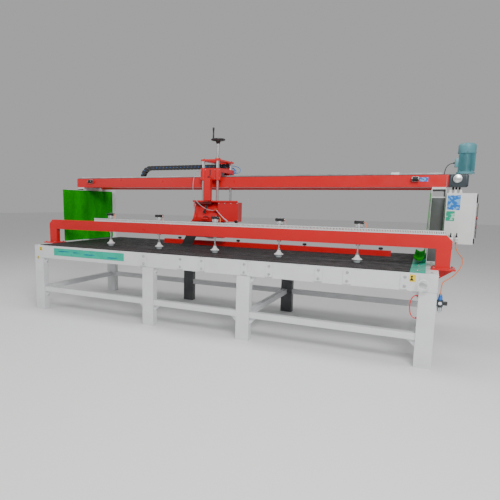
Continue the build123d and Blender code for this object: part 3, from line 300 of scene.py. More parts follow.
class Shape:
    """Simple solids gathered into one mesh. Places are in millimetres from the table's front left corner."""

    def __init__(self):
        self.points = []
        self.faces = []

    def add(self, points, faces):
        start = len(self.points)
        self.points += [at(*point) for point in points]
        self.faces += [[start + index for index in face] for face in faces]

    def box(self, x, y, z):
        points = [(a, b, c) for a in x for b in y for c in z]
        self.add(points, BOX_FACES)

    def turned(self, along, place, profile, sides=32, phase=0.0):
        """Solid of revolution. profile is a list of (radius, position along the axis), closed on the axis."""
        points = []
        for radius, position in profile:
            for index in range(sides):
                a, b = around((0, 0), radius, phase + 2 * math.pi * index / sides)
                if along == "y":
                    a, b = b, a
                points.append(placed(along, position, place[0] + a, place[1] + b))
        faces = []
        for ring in range(len(profile) - 1):
            for index in range(sides):
                following = (index + 1) % sides
                faces.append((ring * sides + index, ring * sides + following,
                              (ring + 1) * sides + following, (ring + 1) * sides + index))
        faces.append(tuple(range(sides - 1, -1, -1)))
        last = (len(profile) - 1) * sides
        faces.append(tuple(range(last, last + sides)))
        if profile[0][1] > profile[-1][1]:
            faces = [tuple(reversed(face)) for face in faces]
        self.add(points, faces)

    def bar(self, along, place, radius, start, stop, sides=32):
        """Round bar with chamfered ends, for a start below its stop."""
        edge = min(0.8, radius / 4, abs(stop - start) / 4)
        self.turned(along, place, [(radius - edge, start), (radius, start + edge), (radius, stop - edge),
                                   (radius - edge, stop)], sides)

    def ring(self, along, place, outer, inner, start, stop, sides=32):
        """Flat ring or pipe between two values on an axis."""
        points = []
        for radius, position in ((outer, start), (outer, stop), (inner, stop), (inner, start)):
            for index in range(sides):
                points.append(placed(along, position, *around(place, radius, 2 * math.pi * index / sides)))
        faces = []
        for band in range(4):
            for index in range(sides):
                following = (index + 1) % sides
                after = (band + 1) % 4
                face = (band * sides + index, band * sides + following,
                        after * sides + following, after * sides + index)
                faces.append(face if along != "y" else tuple(reversed(face)))
        self.add(points, faces)

    def prism(self, along, outline, start, stop):
        """Plate with a straight-sided outline, given in the two other coordinates."""
        count = len(outline)
        points = []
        for position in (start, stop):
            points += [placed(along, position, a, b) for a, b in outline]
        area = sum(outline[i][0] * outline[(i + 1) % count][1] - outline[(i + 1) % count][0] * outline[i][1]
                   for i in range(count))
        flip = (area > 0) == (along != "y")
        faces = [tuple(range(count)), tuple(range(2 * count - 1, count - 1, -1))]
        for index in range(count):
            following = (index + 1) % count
            faces.append((index, count + index, count + following, following))
        if flip:
            faces = [tuple(reversed(face)) for face in faces]
        if stop < start:
            faces = [tuple(reversed(face)) for face in faces]
        self.add(points, faces)

    def pipe(self, route, radius, sides=10, ripple=0.0):
        """Round pipe along points. ripple makes it swell and narrow, as a weld bead does."""
        route = [Vector(point) for point in route]
        points = []
        side = None
        for index, place in enumerate(route):
            ahead = route[min(index + 1, len(route) - 1)] - route[max(index - 1, 0)]
            ahead.normalize()
            if side is None:
                side = ahead.cross(Vector((0, 0, 1)) if abs(ahead.z) < 0.9 else Vector((1, 0, 0)))
            side = (side - ahead * side.dot(ahead)).normalized()
            up = side.cross(ahead)
            size = radius * (1 + ripple * (1 if index % 2 else -1))
            for corner in range(sides):
                angle = 2 * math.pi * corner / sides
                points.append(tuple(place + size * (math.cos(angle) * side + math.sin(angle) * up)))
        faces = []
        for ring in range(len(route) - 1):
            for index in range(sides):
                following = (index + 1) % sides
                faces.append((ring * sides + following, ring * sides + index,
                              (ring + 1) * sides + index, (ring + 1) * sides + following))
        faces.append(tuple(range(sides)))
        last = (len(route) - 1) * sides
        faces.append(tuple(range(last + sides - 1, last - 1, -1)))
        self.add(points, faces)

    def bead(self, start, stop, radius=3.2, step=4.5):
        """Weld bead between two points."""
        a, b = Vector(start), Vector(stop)
        count = max(2, int((b - a).length / step))
        route = []
        for index in range(count + 1):
            wobble = Vector([random.uniform(-0.5, 0.5) for _ in range(3)])
            route.append(a.lerp(b, index / count) + wobble)
        self.pipe(route, radius, 6, 0.14)

    def bolt(self, along, place, start, stop, radius=9, washer=True):
        """Hexagon head with a washer, from its seat at start to its top at stop."""
        way = 1 if stop > start else -1
        seat = start + way * 2 if washer else start
        if washer:
            self.bar(along, place, radius * 1.5, start, seat, 24)
        self.turned(along, place, [(radius, seat), (radius, stop - way * 1), (radius * 0.86, stop)], 6,
                    random.uniform(0, 1))

    def fin(self, along, centre, angle, sections, span_along):
        """Rib that stands out from a round body. sections is a list of (reach, half of the width)."""
        c, s = math.cos(angle), math.sin(angle)
        points = []
        for position in span_along:
            for reach, half in sections:
                for side in (-1, 1):
                    points.append(placed(along, position, centre[0] + c * reach - s * half * side,
                                         centre[1] + s * reach + c * half * side))
        faces = BOX_FACES
        if along == "y":
            faces = [tuple(reversed(face)) for face in faces]
        self.add(points, faces)

    def piece(self, name, material, body="machine", slot=None, replaces=(), bevel=0.0, smooth=35):
        """Finish the mesh as a named piece. The slot argument is not used."""
        mesh = bpy.data.meshes.new(name)
        mesh.from_pydata([tuple(point) for point in self.points], [], self.faces)
        mesh.validate()
        mesh.materials.append(MATERIALS[material])
        item = bpy.data.objects.new(name, mesh)
        SCENE.collection.objects.link(item)
        if bevel:
            modifier = item.modifiers.new("edges", "BEVEL")
            modifier.width = bevel / 1000
            modifier.segments = 2
            modifier.limit_method = "ANGLE"
            modifier.angle_limit = math.radians(40)
            rounded = evaluated(item)
            item.modifiers.clear()
            item.data = rounded
            item.data.name = name
        smoothed(item, smooth)
        if body:
            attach(item, body)
        if replaces:
            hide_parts(*replaces)
        return item


def rounded_outline(x, z, radius, steps=5):
    """Corners of a rectangle, rounded."""
    outline = []
    for cx, cz, first in ((x[1] - radius, z[0] + radius, -90), (x[1] - radius, z[1] - radius, 0),
                          (x[0] + radius, z[1] - radius, 90), (x[0] + radius, z[0] + radius, 180)):
        for step in range(steps + 1):
            outline.append(around((cx, cz), radius, math.radians(first + 90 * step / steps)))
    return outline


def lobed_outline(centre, radius, depth, lobes, steps):
    """Knob's outline, a circle with soft lobes."""
    turns = [2 * math.pi * step / steps for step in range(steps)]
    return [around(centre, radius + depth * math.cos(lobes * angle), angle) for angle in turns]


# ---------------------------------------------------------------- cords

# Name: body, material, slot, length in metres, lay and the points of the route
CORDS = {
    "air_hose": ("machine", "orange_hose", "orange_hose", 0.9672, "loose", [
        (4695, 816, 1034.7), (4695, 816, 985), (4712, 765, 945), (4735, 690, 918), (4750, 600, 902),
        (4745, 480, 860), (4712, 380, 810), (4660, 280, 762), (4610, 180, 745), (4584, 92, 738),
        (4576.5, 40, 700), (4576.5, 40, 650.3)]),
    "water_hose": (None, "grey_hose", "grey_hose", 0.7036, "loose", [
        (1894.7, 860, 1762), (1846, 860, 1762), (1818, 848, 1715), (1808, 834, 1640), (1810, 820, 1555),
        (1824, 812, 1470), (1862, 808, 1395), (1925, 806, 1342), (1988, 814, 1300), (2045, 849, 1282),
        (2091.7, 849, 1282)]),
    "motor_cable": ("machine", "black_hose", "black_rubber", 0.1639, "taut", [
        (4632.7, 1000, 1800), (4596, 1000, 1797), (4565, 1000, 1768), (4551, 1000, 1726), (4550, 1000, 1683.3)]),
    "supply_hoses": ("carriage", "blue_hose", "blue_plastic", 0.3128, "loose", [
        (2072.3, 1355, 1855), (2125, 1355, 1852), (2180, 1348, 1838), (2228, 1330, 1810), (2238, 1292, 1768),
        (2205, 1265, 1750), (2155.3, 1265, 1750)]),
}
for name, (body, material, slot_name, length, lay, route) in CORDS.items():
    curve = bpy.data.curves.new(name + "_line", "CURVE")
    curve.dimensions = "3D"
    spline = curve.splines.new("NURBS")
    spline.points.add(len(route) - 1)
    for point, place in zip(spline.points, route):
        point.co = (*at(*place), 1)
    spline.order_u = 3
    spline.use_endpoint_u = True
    spline.resolution_u = 16
    cord = bpy.data.objects.new(name + "_cord", curve)
    SCENE.collection.objects.link(cord)
    if body:
        line = None
        curve.bevel_depth = HOSE_RADIUS / 1000
        curve.bevel_resolution = 5
        curve.use_fill_caps = True
        curve.materials.append(MATERIALS[material])
        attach(cord, body)
        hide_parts(name)
    else:
        # The water hose joins the carriage to the head, so it is a mesh of its own, on neither body.
        line = [vertex.co.copy() for vertex in evaluated(cord).vertices]
        bpy.data.objects.remove(cord)
        tube = Shape()
        tube.pipe([(place - at(0, 0, 0)) * 1000 for place in line], HOSE_RADIUS, 16)
        cord = tube.piece(name + "_cord", material, None, slot_name, [name])
        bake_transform(cord)

# ---------------------------------------------------------------- finishes of the CAD pieces

# CAD nodes by the material that they show or stand for
FINISHES = {
    "grey_paint": "table_legs long_rails cross_rails stretchers table_deck columns",
    "mat_rubber": "rubber_mat",
    "teal_sheet": "end_slide",
    "red_paint":
        "clamp_beam portal_posts fence_bar bridge_beam chain_tray saddle top_plate head_plate "
        "blade_guard front_hood side_cover",
    "white_plastic": "cable_duct clamp_feet",
    "aluminium": "clamp_cylinders",
    "chrome": "clamp_rods guide_rods",
    "steel": "guide_rails lift_screw saw_blade blade_arbor",
    "turf": "side_curtains",
    "oily_steel": "drive_chain drive_sprocket idler_sprocket",
    "dark_paint": "gearbox",
    "blue_grey_paint": "drive_motor saw_motor",
    "cream_paint": "cabinet cabinet_door",
    "red_plastic": "stop_button main_switch",
    "black_plastic":
        "start_button valve_lever_1 valve_lever_2 regulator_knob lock_lever handwheel crank_knob "
        "hood_lever chain_bend chain_upper_run chain_lower_run fence_knob_1 fence_knob_2 fence_knob_3 "
        "fence_knob_4",
    "blue_plastic": "air_service_unit",
    "black_rubber": "splash_flap",
    "orange_hose": "air_hose",
    "grey_hose": "water_hose",
    "black_hose": "motor_cable",
    "blue_hose": "supply_hoses",
}
for material, nodes in FINISHES.items():
    for node in nodes.split():
        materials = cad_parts[node].data.materials
        materials.clear()
        materials.append(MATERIALS[material])

# ---------------------------------------------------------------- table

mat_low, mat_high = span("rubber_mat")
mat = Shape()
mat.box((mat_low.x, mat_high.x), (mat_low.y, mat_high.y), (mat_low.z, mat_high.z - 2.5))
rib, rib_width, rib_pitch = mat_low.y + 10, 15, 24
while rib < mat_high.y - 14:
    mat.box((mat_low.x + 2, mat_high.x - 2), (rib, rib + rib_width), (mat_high.z - 2.6, mat_high.z))
    rib += rib_pitch
mat.piece("ribbed_mat", "mat_rubber", slot="black_rubber", replaces=["rubber_mat"], bevel=0.8)

LEG_WIDTH, LEG_DEPTH = 140, 80
FRONT_LEGS, BACK_LEGS, BACK_Y = (0, 1625, 2755, 4410), (0, 1365, 2800, 4410), 1415
# Dark grey shells over the two middle rear legs: painted shade, since these legs stand in the table's shadow; their
# paint is the same grey as the other legs.
shaded_rear_legs = Shape()
for x in BACK_LEGS[1:3]:
    shaded_rear_legs.box((x - 0.5, x + LEG_WIDTH + 0.5), (BACK_Y - 0.5, BACK_Y + LEG_DEPTH + 0.5), (0.5, 654))
shaded_rear_legs.piece("painted_shade_rear_legs", "painted_shade_grey", slot="dark_paint")

beads = Shape()
for lefts, low_y in ((FRONT_LEGS, 0), (BACK_LEGS, BACK_Y)):
    for x in lefts:
        y0, y1, x1 = low_y, low_y + LEG_DEPTH, x + LEG_WIDTH
        for a, b in (((x, y0), (x1, y0)), ((x1, y0), (x1, y1)), ((x1, y1), (x, y1)), ((x, y1), (x, y0))):
            beads.bead((*a, 658), (*b, 658), 2.6)
    for first, second in zip(lefts[:-1], lefts[1:]):
        for x in (first + LEG_WIDTH, second):
            for y0, z0, y1, z1 in ((10, 235, 70, 235), (10, 295, 70, 295), (10, 235, 10, 295), (70, 235, 70, 295)):
                beads.bead((x, low_y + y0, z0), (x, low_y + y1, z1), 2.6)
beads.piece("frame_welds", "weld", slot="grey_paint")

deck = Shape()
for x in (40, 4500):
    for y in (60, 420, 820, 1220, 1560):
        deck.bolt("z", (x, y), 815, 822, 8)
for x in range(240, 4400, 520):
    deck.bead((x, -0.5, 809), (x + 60, -0.5, 809), 1.8)
deck.piece("deck_bolts", "steel", slot="grey_paint")

seams = Shape()
for x in (1611, 2075, 2328, 2799, 3056, 3531, 3787, 4261):
    for z in (696, 776):
        seams.ring("y", (x + 36, z), 13, 9.3, -13, -9.8, 24)
        seams.turned("y", (x + 36, z), [(7.5, -14), (7.5, -19), (6.4, -20)], 6, 0.4)
    seams.bead((x + 1, -9, 671), (x + 71, -9, 671), 1.8)
seams.piece("pad_bolts", "steel", slot="grey_paint")

bolt_strip = Shape()
for y in (60, 430, 800, 1170, 1540):
    bolt_strip.turned("z", (4390, y), [(11, 826), (11, 831), (8, 835)], 24)
bolt_strip.piece("sheet_screws", "chrome", slot="teal_sheet")

banner = Shape()
banner.prism("y", rounded_outline((322, 1375), (700, 790), 4), 0.1, -1.2)
banner.piece("front_banner", "banner", slot="teal_sheet")
swash = Shape()
for x, width, z in ((380, 210, 752), (620, 90, 748), (780, 190, 735), (1120, 180, 722)):
    outline = [(x, z), (x + width * 0.3, z + 9), (x + width, z + 6), (x + width * 0.8, z + 1),
               (x + width * 0.2, z - 3)]
    swash.prism("y", outline, -1.1, -1.6)
swash.piece("banner_shapes", "banner_mark", slot="teal_sheet")
labels, marks = Shape(), Shape()
for x, z, size in ((82, 748, 46), (38, 642, 34), (4318, 738, 62)):
    labels.prism("y", rounded_outline((x, x + size), (z, z + size), 4), 0.1, -1)
    middle = x + size / 2
    mark = ((-0.28, 0.16), (0.28, 0.16), (0.06, 0.5), (0.16, 0.82), (-0.16, 0.82), (-0.06, 0.5))
    marks.prism("y", [(middle + size * a, z + size * b) for a, b in mark], -0.9, -1.4)
labels.piece("yellow_labels", "yellow_label", slot="grey_paint")
marks.piece("label_marks", "black_plastic", slot="grey_paint")

loop = Shape()
route = []
for step in range(25):
    angle = math.radians(-105 + 210 * step / 24)
    route.append((4392 - 44 * math.cos(angle), 34 + 6 * math.cos(angle), 520 + 98 * math.sin(angle)))
loop.pipe(route, 4.2, 12)
for z in (425, 615):
    loop.box((4398, 4410), (24, 42), (z - 7, z + 7))
loop.piece("earth_cable_loop", "red_plastic")

# ---------------------------------------------------------------- clamp portal

duct_low, duct_high = span("cable_duct")
duct = Shape()
duct_x, duct_y = (duct_low.x, duct_high.x), (duct_low.y, duct_high.y)
duct_wall, lid_lap = 1.6, 0.8
duct.box(duct_x, duct_y, (duct_low.z, duct_low.z + 2))
for y in (duct_y[0], duct_y[1] - duct_wall):
    duct.box(duct_x, (y, y + duct_wall), (duct_low.z, duct_low.z + 12))
duct.box(duct_x, (duct_y[0] - lid_lap, duct_y[1] + lid_lap), (duct_high.z - 2, duct_high.z))
for y in duct_y:
    duct.box(duct_x, (y - lid_lap, y + lid_lap), (duct_high.z - 9, duct_high.z))
finger, finger_width, finger_pitch = duct_x[0] + 4, 8, 14
while finger < duct_x[1] - 12:
    for y in (duct_y[0], duct_y[1] - duct_wall):
        duct.box((finger, finger + finger_width), (y, y + duct_wall), (duct_low.z + 11, duct_high.z - 6))
    finger += finger_pitch
duct.piece("slotted_duct", "white_plastic", replaces=["cable_duct"])
# Dark box inside the duct, seen through its slots: painted shade inside the duct.
shade_core = Shape()
shade_core.box((duct_x[0] + 3, duct_x[1] - 3), (367, duct_y[1] - 2.5), (duct_low.z + 3, duct_high.z - 3))
shade_core.piece("duct_painted_shade", "painted_shade_grey", slot="black_plastic")
lines = Shape()
for y, z, wave in ((356, 1129, 2.0), (362, 1133, 1.4), (359, 1141, 2.6)):
    route = [(duct_x[0] + 6 + step * 60, y + wave * math.sin(step * 1.7), z + wave * math.cos(step * 1.1))
             for step in range(int((duct_x[1] - duct_x[0] - 12) / 60))]
    lines.pipe(route, 2.6, 8)
lines.piece("duct_air_lines", "orange_hose")

feet, cups, stems, collars, barrels, caps, fittings, tees = (Shape() for _ in range(8))
for x in CLAMPS_X:
    place = (x, CLAMPS_Y)
    feet.turned("z", place, [(19, 842), (30, 846), (44, 849.5), (49.5, 852), (49.5, 855), (44, 860), (30, 868),
                             (22, 880), (17, 893), (15.5, 902), (15, 907)], 48)
    cups.turned("z", place, [(25, 823.6), (30, 824.2), (33, 830), (36, 838), (40, 845), (38, 848), (20, 847)], 48)
    stems.ring("z", place, 17.5, 15.2, 900, 907.4, 32)
    stems.bolt("z", place, 907.5, 921, 11)
    collars.ring("z", place, 21, 15.2, 992, 999.5, 32)
    collars.ring("z", place, 19, 15.2, 986, 992, 32)
    barrels.turned("z", place, [(16.5, 1195), (16.5, 1120.5), (23.5, 1120.5), (23.5, 1128), (20, 1130),
                                (20, 1196), (23.5, 1198)], 32)
    for shift in (-27, 27):
        barrels.turned("z", (x + shift, 388), [(8.2, 1163), (10.2, 1165), (10.2, 1194), (8.2, 1196)], 24)
        near = math.copysign(19, shift)
        barrels.box((x + min(shift, near), x + max(shift, near)), (380, 396), (1168, 1190))
    caps.box((x - 44, x + 44), (367, 413), (1196, 1224))
    for corner_x in (-34, 34):
        for corner_y in (-14, 14):
            caps.bar("z", (x + corner_x, CLAMPS_Y + corner_y), 3.5, 1224, 1227, 12)
    fittings.bar("z", (x + 8, CLAMPS_Y), 6, 1224, 1232, 18)
    fittings.bar("x", (CLAMPS_Y, 1212), 6, x + 43.5, x + 48, 18)
    tees.pipe([(x + 46, CLAMPS_Y, 1212), (x + 56, 388, 1211), (x + 63, 382, 1202), (x + 67, 374, 1186),
               (x + 68, 366, 1158)], 3.4, 10)
feet.piece("clamp_pads", "white_plastic", "clamps", replaces=["clamp_feet"])
cups.piece("clamp_pad_cups", "clear_cup", "clamps", "white_plastic")
stems.piece("clamp_pad_nuts", "steel", "clamps")
collars.piece("clamp_rod_guides", "steel")
barrels.piece("clamp_barrels", "aluminium", replaces=["clamp_cylinders"], bevel=0.5)
caps.piece("clamp_heads", "black_plastic", bevel=1.2)
fittings.piece("clamp_air_fittings", "chrome", slot="steel")
tees.piece("clamp_air_tubes", "orange_hose")

portal = Shape()
for x0 in (-92, 4582):
    for a, b in (((x0, 349.5), (x0 + 60, 349.5)), ((x0, 410.5), (x0 + 60, 410.5))):
        portal.bead((*a, 999.5), (*b, 999.5), 1.6)
        portal.bead((*a, 826), (*b, 826), 2.4)
    portal.bead((x0 - 0.5, 350, 826), (x0 - 0.5, 410, 826), 2.4)
    portal.bead((x0 + 60.5, 350, 826), (x0 + 60.5, 410, 826), 2.4)
portal.piece("portal_welds", "red_paint")
plate_bolts = Shape()
for x in (-113, 37, 4513, 4663):
    for y in (305, 455):
        plate_bolts.ring("z", (x, y), 14, 9.3, 825, 827.5, 24)
        plate_bolts.turned("z", (x, y), [(8, 832.5), (8, 839), (6.8, 840)], 6, 0.3)
plate_bolts.piece("portal_bolt_heads", "steel", slot="red_paint")

# ---------------------------------------------------------------- fence

fence = Shape()
for x in FENCE_KNOBS_X:
    fence.box((x - 26, x + 26), (1149, 1152), (828, 880))
    fence.bead((x - 26, 1149, 828), (x - 26, 1149, 880), 1.6)
for x in (1201, 4096):
    fence.box((x - 0.9, x + 0.9), (1153, 1207), (826, 880))
fence.piece("fence_plates", "red_paint")
for number, x in enumerate(FENCE_KNOBS_X, start=1):
    knob = Shape()
    place = (x, FENCE_KNOBS_Y)
    knob.prism("z", lobed_outline(place, 22, 2, 7, 84), 892, 912)
    knob.turned("z", place, [(17, 911), (17, 913), (14, 915)], 32)
    knob.ring("z", place, 12, 6.2, 891, 893, 24)
    knob.piece(f"fence_knob_grip_{number}", "black_plastic", f"fence_clamp_{number}",
               replaces=[f"fence_knob_{number}"], bevel=1.5)
studs = Shape()
for x in FENCE_KNOBS_X:
    studs.ring("z", (x, FENCE_KNOBS_Y), 13, 6.1, 883.2, 885.5, 24)
    studs.turned("z", (x, FENCE_KNOBS_Y), [(10.5, 885.5), (10.5, 890), (9.5, 890.6)], 6)
studs.piece("fence_stud_nuts", "steel")

# ---------------------------------------------------------------- gantry

# Dark grey sheets and screws on the columns' grey-painted sides: painted shade on these faces.
panels = Shape()
for x in (-131.2, 0.05, 4448.8, 4580.1):
    low_z = 662 if x < 100 else 818
    panels.prism("x", rounded_outline((1012, 1548), (low_z, 1460), 6), x, x + 1.1)
    for y in (1030, 1280, 1530):
        for z in (low_z + 20, (low_z + 1460) / 2, 1445):
            panels.bar("x", (y, z), 6, x - 1.5, x + 2.6, 16)
panels.piece("column_panels_painted_shade", "painted_shade_grey", slot="grey_paint", bevel=0.4)

# Dark grey sheet on the right column's front under its head: painted shade of the recessed grey face.
front_panel = Shape()
front_panel.prism("y", rounded_outline((4455, 4574), (822, 1458), 5), 919.9, 918.6)
for z in (850, 1140, 1430):
    for x in (4468, 4561):
        front_panel.bar("y", (x, z), 5.5, 915, 918.7, 16)
front_panel.piece("column_front_painted_shade", "painted_shade_grey", slot="grey_paint", bevel=0.4)

beam = Shape()
for x in (-110, 4575):
    beam.bead((x, 919.6, 1565), (x, 919.6, 1681), 1.8)
for x in range(160, 4500, 360):
    beam.bolt("z", (x, 936), 1683, 1690, 6.5)
beam.piece("beam_bolts", "steel")
caps_rail = Shape()
for y in (960, 1200):
    for x in range(-10, 4520, 80):
        caps_rail.bar("z", (x, y), 5.5, 1704.5, 1705.6, 16)
        caps_rail.bar("z", (x, y), 2.4, 1705.5, 1705.9, 6)
caps_rail.piece("rail_screw_caps", "oily_steel", slot="steel")
cover_strip = Shape()
cover_strip.box((-100, 4540), (921, 928), (1683, 1688.5))
cover_strip.piece("beam_edge_strip", "black_plastic", bevel=1.0)

sensor = Shape()
sensor.box((4060, 4140), (926, 946), (1683, 1712))
sensor.box((4070, 4090), (918, 926), (1690, 1706))
sensor.piece("end_sensor", "white_plastic", bevel=1.5)
bumper, bumper_label = Shape(), Shape()
for x in (142, 4293):
    bumper.turned("x", (888, 1643), [(15, x - 33.5), (19.5, x - 30), (20.6, x - 24), (20.6, x + 24), (19.5, x + 30),
                                     (15, x + 33.5)], 32)
    bumper.bar("x", (888, 1643), 7, x - 40, x - 33, 6)
bumper.piece("end_stop_buffers", "black_rubber")
bumper_label.prism("y", rounded_outline((4334, 4410), (1618, 1660), 3), 919.9, 918.8)
bumper_label.piece("beam_label", "blue_sticker", slot="blue_plastic")


def side_plate(shape, middle, along, across, outline, wide):
    """Eight-sided plate of a chain, between two values of Y."""
    corners = [middle + along * a + across * b for a, b in outline]
    faces = [tuple(range(8)), tuple(range(15, 7, -1))]
    faces += [(k, 8 + k, 8 + (k + 1) % 8, (k + 1) % 8) for k in range(8)]
    shape.add([(corner.x, y, corner.z) for y in wide for corner in corners], faces)


# Roller chain along the beam, built from its plates and rollers
links = Shape()
chain_run, chain_turn = OUTPUT[0] - IDLER[0], math.pi * SPROCKET_RADIUS
chain_length = 2 * (chain_run + chain_turn)


def chain_place(distance):
    """Point and direction on the chain's loop, in X and Z."""
    distance %= chain_length
    if distance < chain_run:
        return IDLER[0] + distance, IDLER[1] + SPROCKET_RADIUS, 0.0
    distance -= chain_run
    if distance < chain_turn:
        angle = distance / SPROCKET_RADIUS
        return *around(OUTPUT, SPROCKET_RADIUS, math.pi / 2 - angle), -angle
    distance -= chain_turn
    if distance < chain_run:
        return OUTPUT[0] - distance, OUTPUT[1] - SPROCKET_RADIUS, math.pi
    angle = (distance - chain_run) / SPROCKET_RADIUS
    return *around(IDLER, SPROCKET_RADIUS, -math.pi / 2 - angle), math.pi - angle


link_count = int(chain_length / 15.875)
pitch = chain_length / link_count
for index in range(link_count):
    x, z, angle = chain_place(index * pitch)
    links.bar("y", (x, z), 3.6, 1077, 1083, 8)
    x, z, angle = chain_place((index + 0.5) * pitch)
    along = Vector((math.cos(angle), 0, math.sin(angle)))
    across = Vector((-along.z, 0, along.x))
    half, height = pitch * 0.78, 4.6
    outline = ((-half, -height * 0.5), (-half * 0.7, -height), (half * 0.7, -height), (half, -height * 0.5),
               (half, height * 0.5), (half * 0.7, height), (-half * 0.7, height), (-half, height * 0.5))
    for y in (1075.6, 1084.4) if index % 2 else (1076.8, 1083.2):
        side_plate(links, Vector((x, 0, z)), along, across, outline, (y - 0.5, y + 0.5))
links.piece("roller_chain", "oily_steel", slot="steel", replaces=["drive_chain"])


for centre, name, body in ((OUTPUT, "drive_sprocket", "drive_wheel"), (IDLER, "idler_sprocket", "idler_wheel")):
    sprocket, teeth, low_y, high_y = Shape(), 19, 1077.25, 1082.75
    outline = []
    for tooth in range(teeth):
        for part, radius in ((0.0, 41), (0.22, 41), (0.36, 46.5), (0.5, 48.5), (0.64, 46.5), (0.78, 41)):
            outline.append(around(centre, radius, 2 * math.pi * (tooth + part) / teeth))
    sprocket.prism("y", outline, low_y, high_y)
    sprocket.bar("y", centre, 26, low_y - 6, high_y + 6)
    if centre == OUTPUT:
        sprocket.bar("y", centre, 12, 1022, 1092)
    for screw in range(5):
        sprocket.bar("y", around(centre, 32, 2 * math.pi * screw / 5), 3, 1075, 1085.5, 12)
    sprocket.piece(name + "_teeth", "oily_steel", body, "steel", [name])

# ---------------------------------------------------------------- energy chain


def chain_link(shape, middle, along, up, length):
    """One hollow link: two side plates and two cross bars."""
    half, tall = length / 2, 29
    outline = ((-half * 1.05, -tall * 0.7), (-half * 0.7, -tall), (half * 0.75, -tall), (half * 1.1, -tall * 0.55),
               (half * 1.1, tall * 0.55), (half * 0.75, tall), (-half * 0.7, tall), (-half * 1.05, tall * 0.7))
    for wide in ((1323, 1328), (1378, 1383)):
        side_plate(shape, middle, along, up, outline, wide)
    for level in (-tall + 2, tall - 2):
        corners = []
        for a, b in ((-half * 0.45, -2), (half * 0.45, -2), (half * 0.45, 2), (-half * 0.45, 2)):
            corners.append(middle + along * a + up * (level + b))
        points = [(c.x, y, c.z) for y in (1327, 1379) for c in corners]
        shape.add(points, [(0, 1, 2, 3), (7, 6, 5, 4), (0, 4, 5, 1), (1, 5, 6, 2), (2, 6, 7, 3), (3, 7, 4, 0)])


PIN_FACES = ((1321.6, 1323.2), (1382.8, 1384.4))


def run_of_links(name, start_x, stop_x, z):
    """Straight run of the chain, between two bodies and on neither. Its pins are dots of another colour."""
    count = round((stop_x - start_x) / 56)
    step = (stop_x - start_x) / count
    shape, pins = Shape(), Shape()
    for index in range(count):
        middle = Vector((start_x + (index + 0.5) * step, 0, z))
        chain_link(shape, middle, Vector((1, 0, 0)), Vector((0, 0, 1)), step * 0.98)
        for y0, y1 in PIN_FACES:
            pins.bar("y", (middle.x + step / 2 * 0.86, z), 6, y0, y1, 16)
    run = shape.piece("energy_chain_" + name, "black_plastic", None, "black_plastic", [f"chain_{name}_run"])
    dots = pins.piece(f"energy_chain_{name}_pins", "blue_plastic", None, "blue_plastic")
    for item in (run, dots):
        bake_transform(item)


run_of_links("upper", ENERGY_BEND_X, 2072, ENERGY_UPPER_Z)
# The loop travels half as far as the carriage, so the lower run's left end, at 870, is halfway along its blend.
run_of_links("lower", 870, 2275, ENERGY_LOWER_Z)
bend, bend_pins = Shape(), Shape()
for index in range(8):
    angle = math.radians(90 + 180 * (index + 0.5) / 8)
    radial = Vector((math.cos(angle), 0, math.sin(angle)))
    along = Vector((-radial.z, 0, radial.x))
    middle = Vector((ENERGY_BEND_X, 0, (ENERGY_UPPER_Z + ENERGY_LOWER_Z) / 2)) + radial * 135
    chain_link(bend, middle, along, radial, 52)
    for y0, y1 in PIN_FACES:
        bend_pins.bar("y", (middle.x + along.x * 22, middle.z + along.z * 22), 6, y0, y1, 16)
bend.piece("energy_chain_bend", "black_plastic", "chain_loop", replaces=["chain_bend"])
bend_pins.piece("energy_chain_bend_pins", "blue_plastic", "chain_loop")
clips = Shape()
for x in (2030, 2052, 2068):
    clips.box((x - 3, x + 3), (1319, 1387), (1820.5, 1824))
    for y in (1321, 1385):
        clips.bar("z", (x, y), 3, 1824, 1827, 6)
clips.piece("chain_end_clips", "steel", "carriage")

# ---------------------------------------------------------------- drive unit

motor = Shape()
motor.turned("z", MOTOR, [(78, 1690.2), (80, 1692), (80, 1709), (72, 1713), (66, 1716), (66, 1890),
                                       (60, 1894)], 48)
for index in range(44):
    angle = 2 * math.pi * index / 44
    if math.cos(angle) >= -0.86:  # room for the terminal box
        motor.fin("z", MOTOR, angle, ((64, 1.6), (78, 1.1)), (1722, 1884))
for index in range(4):
    motor.bar("z", around(MOTOR, 72, math.radians(45 + 90 * index)), 8, 1709, 1722, 20)
motor.piece("motor_ribbed_body", "blue_grey_paint", replaces=["drive_motor"])
cowl = Shape()
cowl.turned("z", MOTOR, [(76, 1886), (78, 1888), (78, 1958), (75, 1970), (66, 1979), (52, 1984),
                                      (50, 1985), (0.5, 1985)], 64)
cowl.piece("motor_cowl", "blue_grey_paint", smooth=50)
slots = Shape()
for ring_radius in (14, 26, 38):
    slots.ring("z", MOTOR, ring_radius + 2.4, ring_radius - 2.4, 1984.6, 1985.4, 40)
for index in range(4):
    slots.bar("z", around(MOTOR, 77.5, math.radians(90 * index)), 3.4, 1893, 1899, 12)
slots.piece("motor_cowl_grille", "dark_paint")
box = Shape()
box.prism("z", rounded_outline((4634, 4672), (965, 1035), 7), 1759, 1840)
box.prism("x", rounded_outline((967, 1033), (1763, 1836), 6), 4633.2, 4635.5)
for y in (973, 1027):
    for z in (1769, 1830):
        box.bar("x", (y, z), 3, 4632.9, 4634, 12)
box.piece("motor_terminal_box", "blue_grey_paint", bevel=1.2)
ring = Shape()
ring.ring("z", MOTOR, 76, 62, 1689, 1692.5, 48)
ring.piece("motor_flange_gasket", "white_plastic")
gland = Shape()
gland.bar("x", (1000, 1800), 9, 4626, 4634, 6)
gland.ring("x", (1000, 1800), 8, 4.2, 4620, 4627, 24)
gland.ring("z", (4550, 1000), 8, 4.2, 1683, 1690, 24)
gland.piece("cable_glands", "black_plastic")

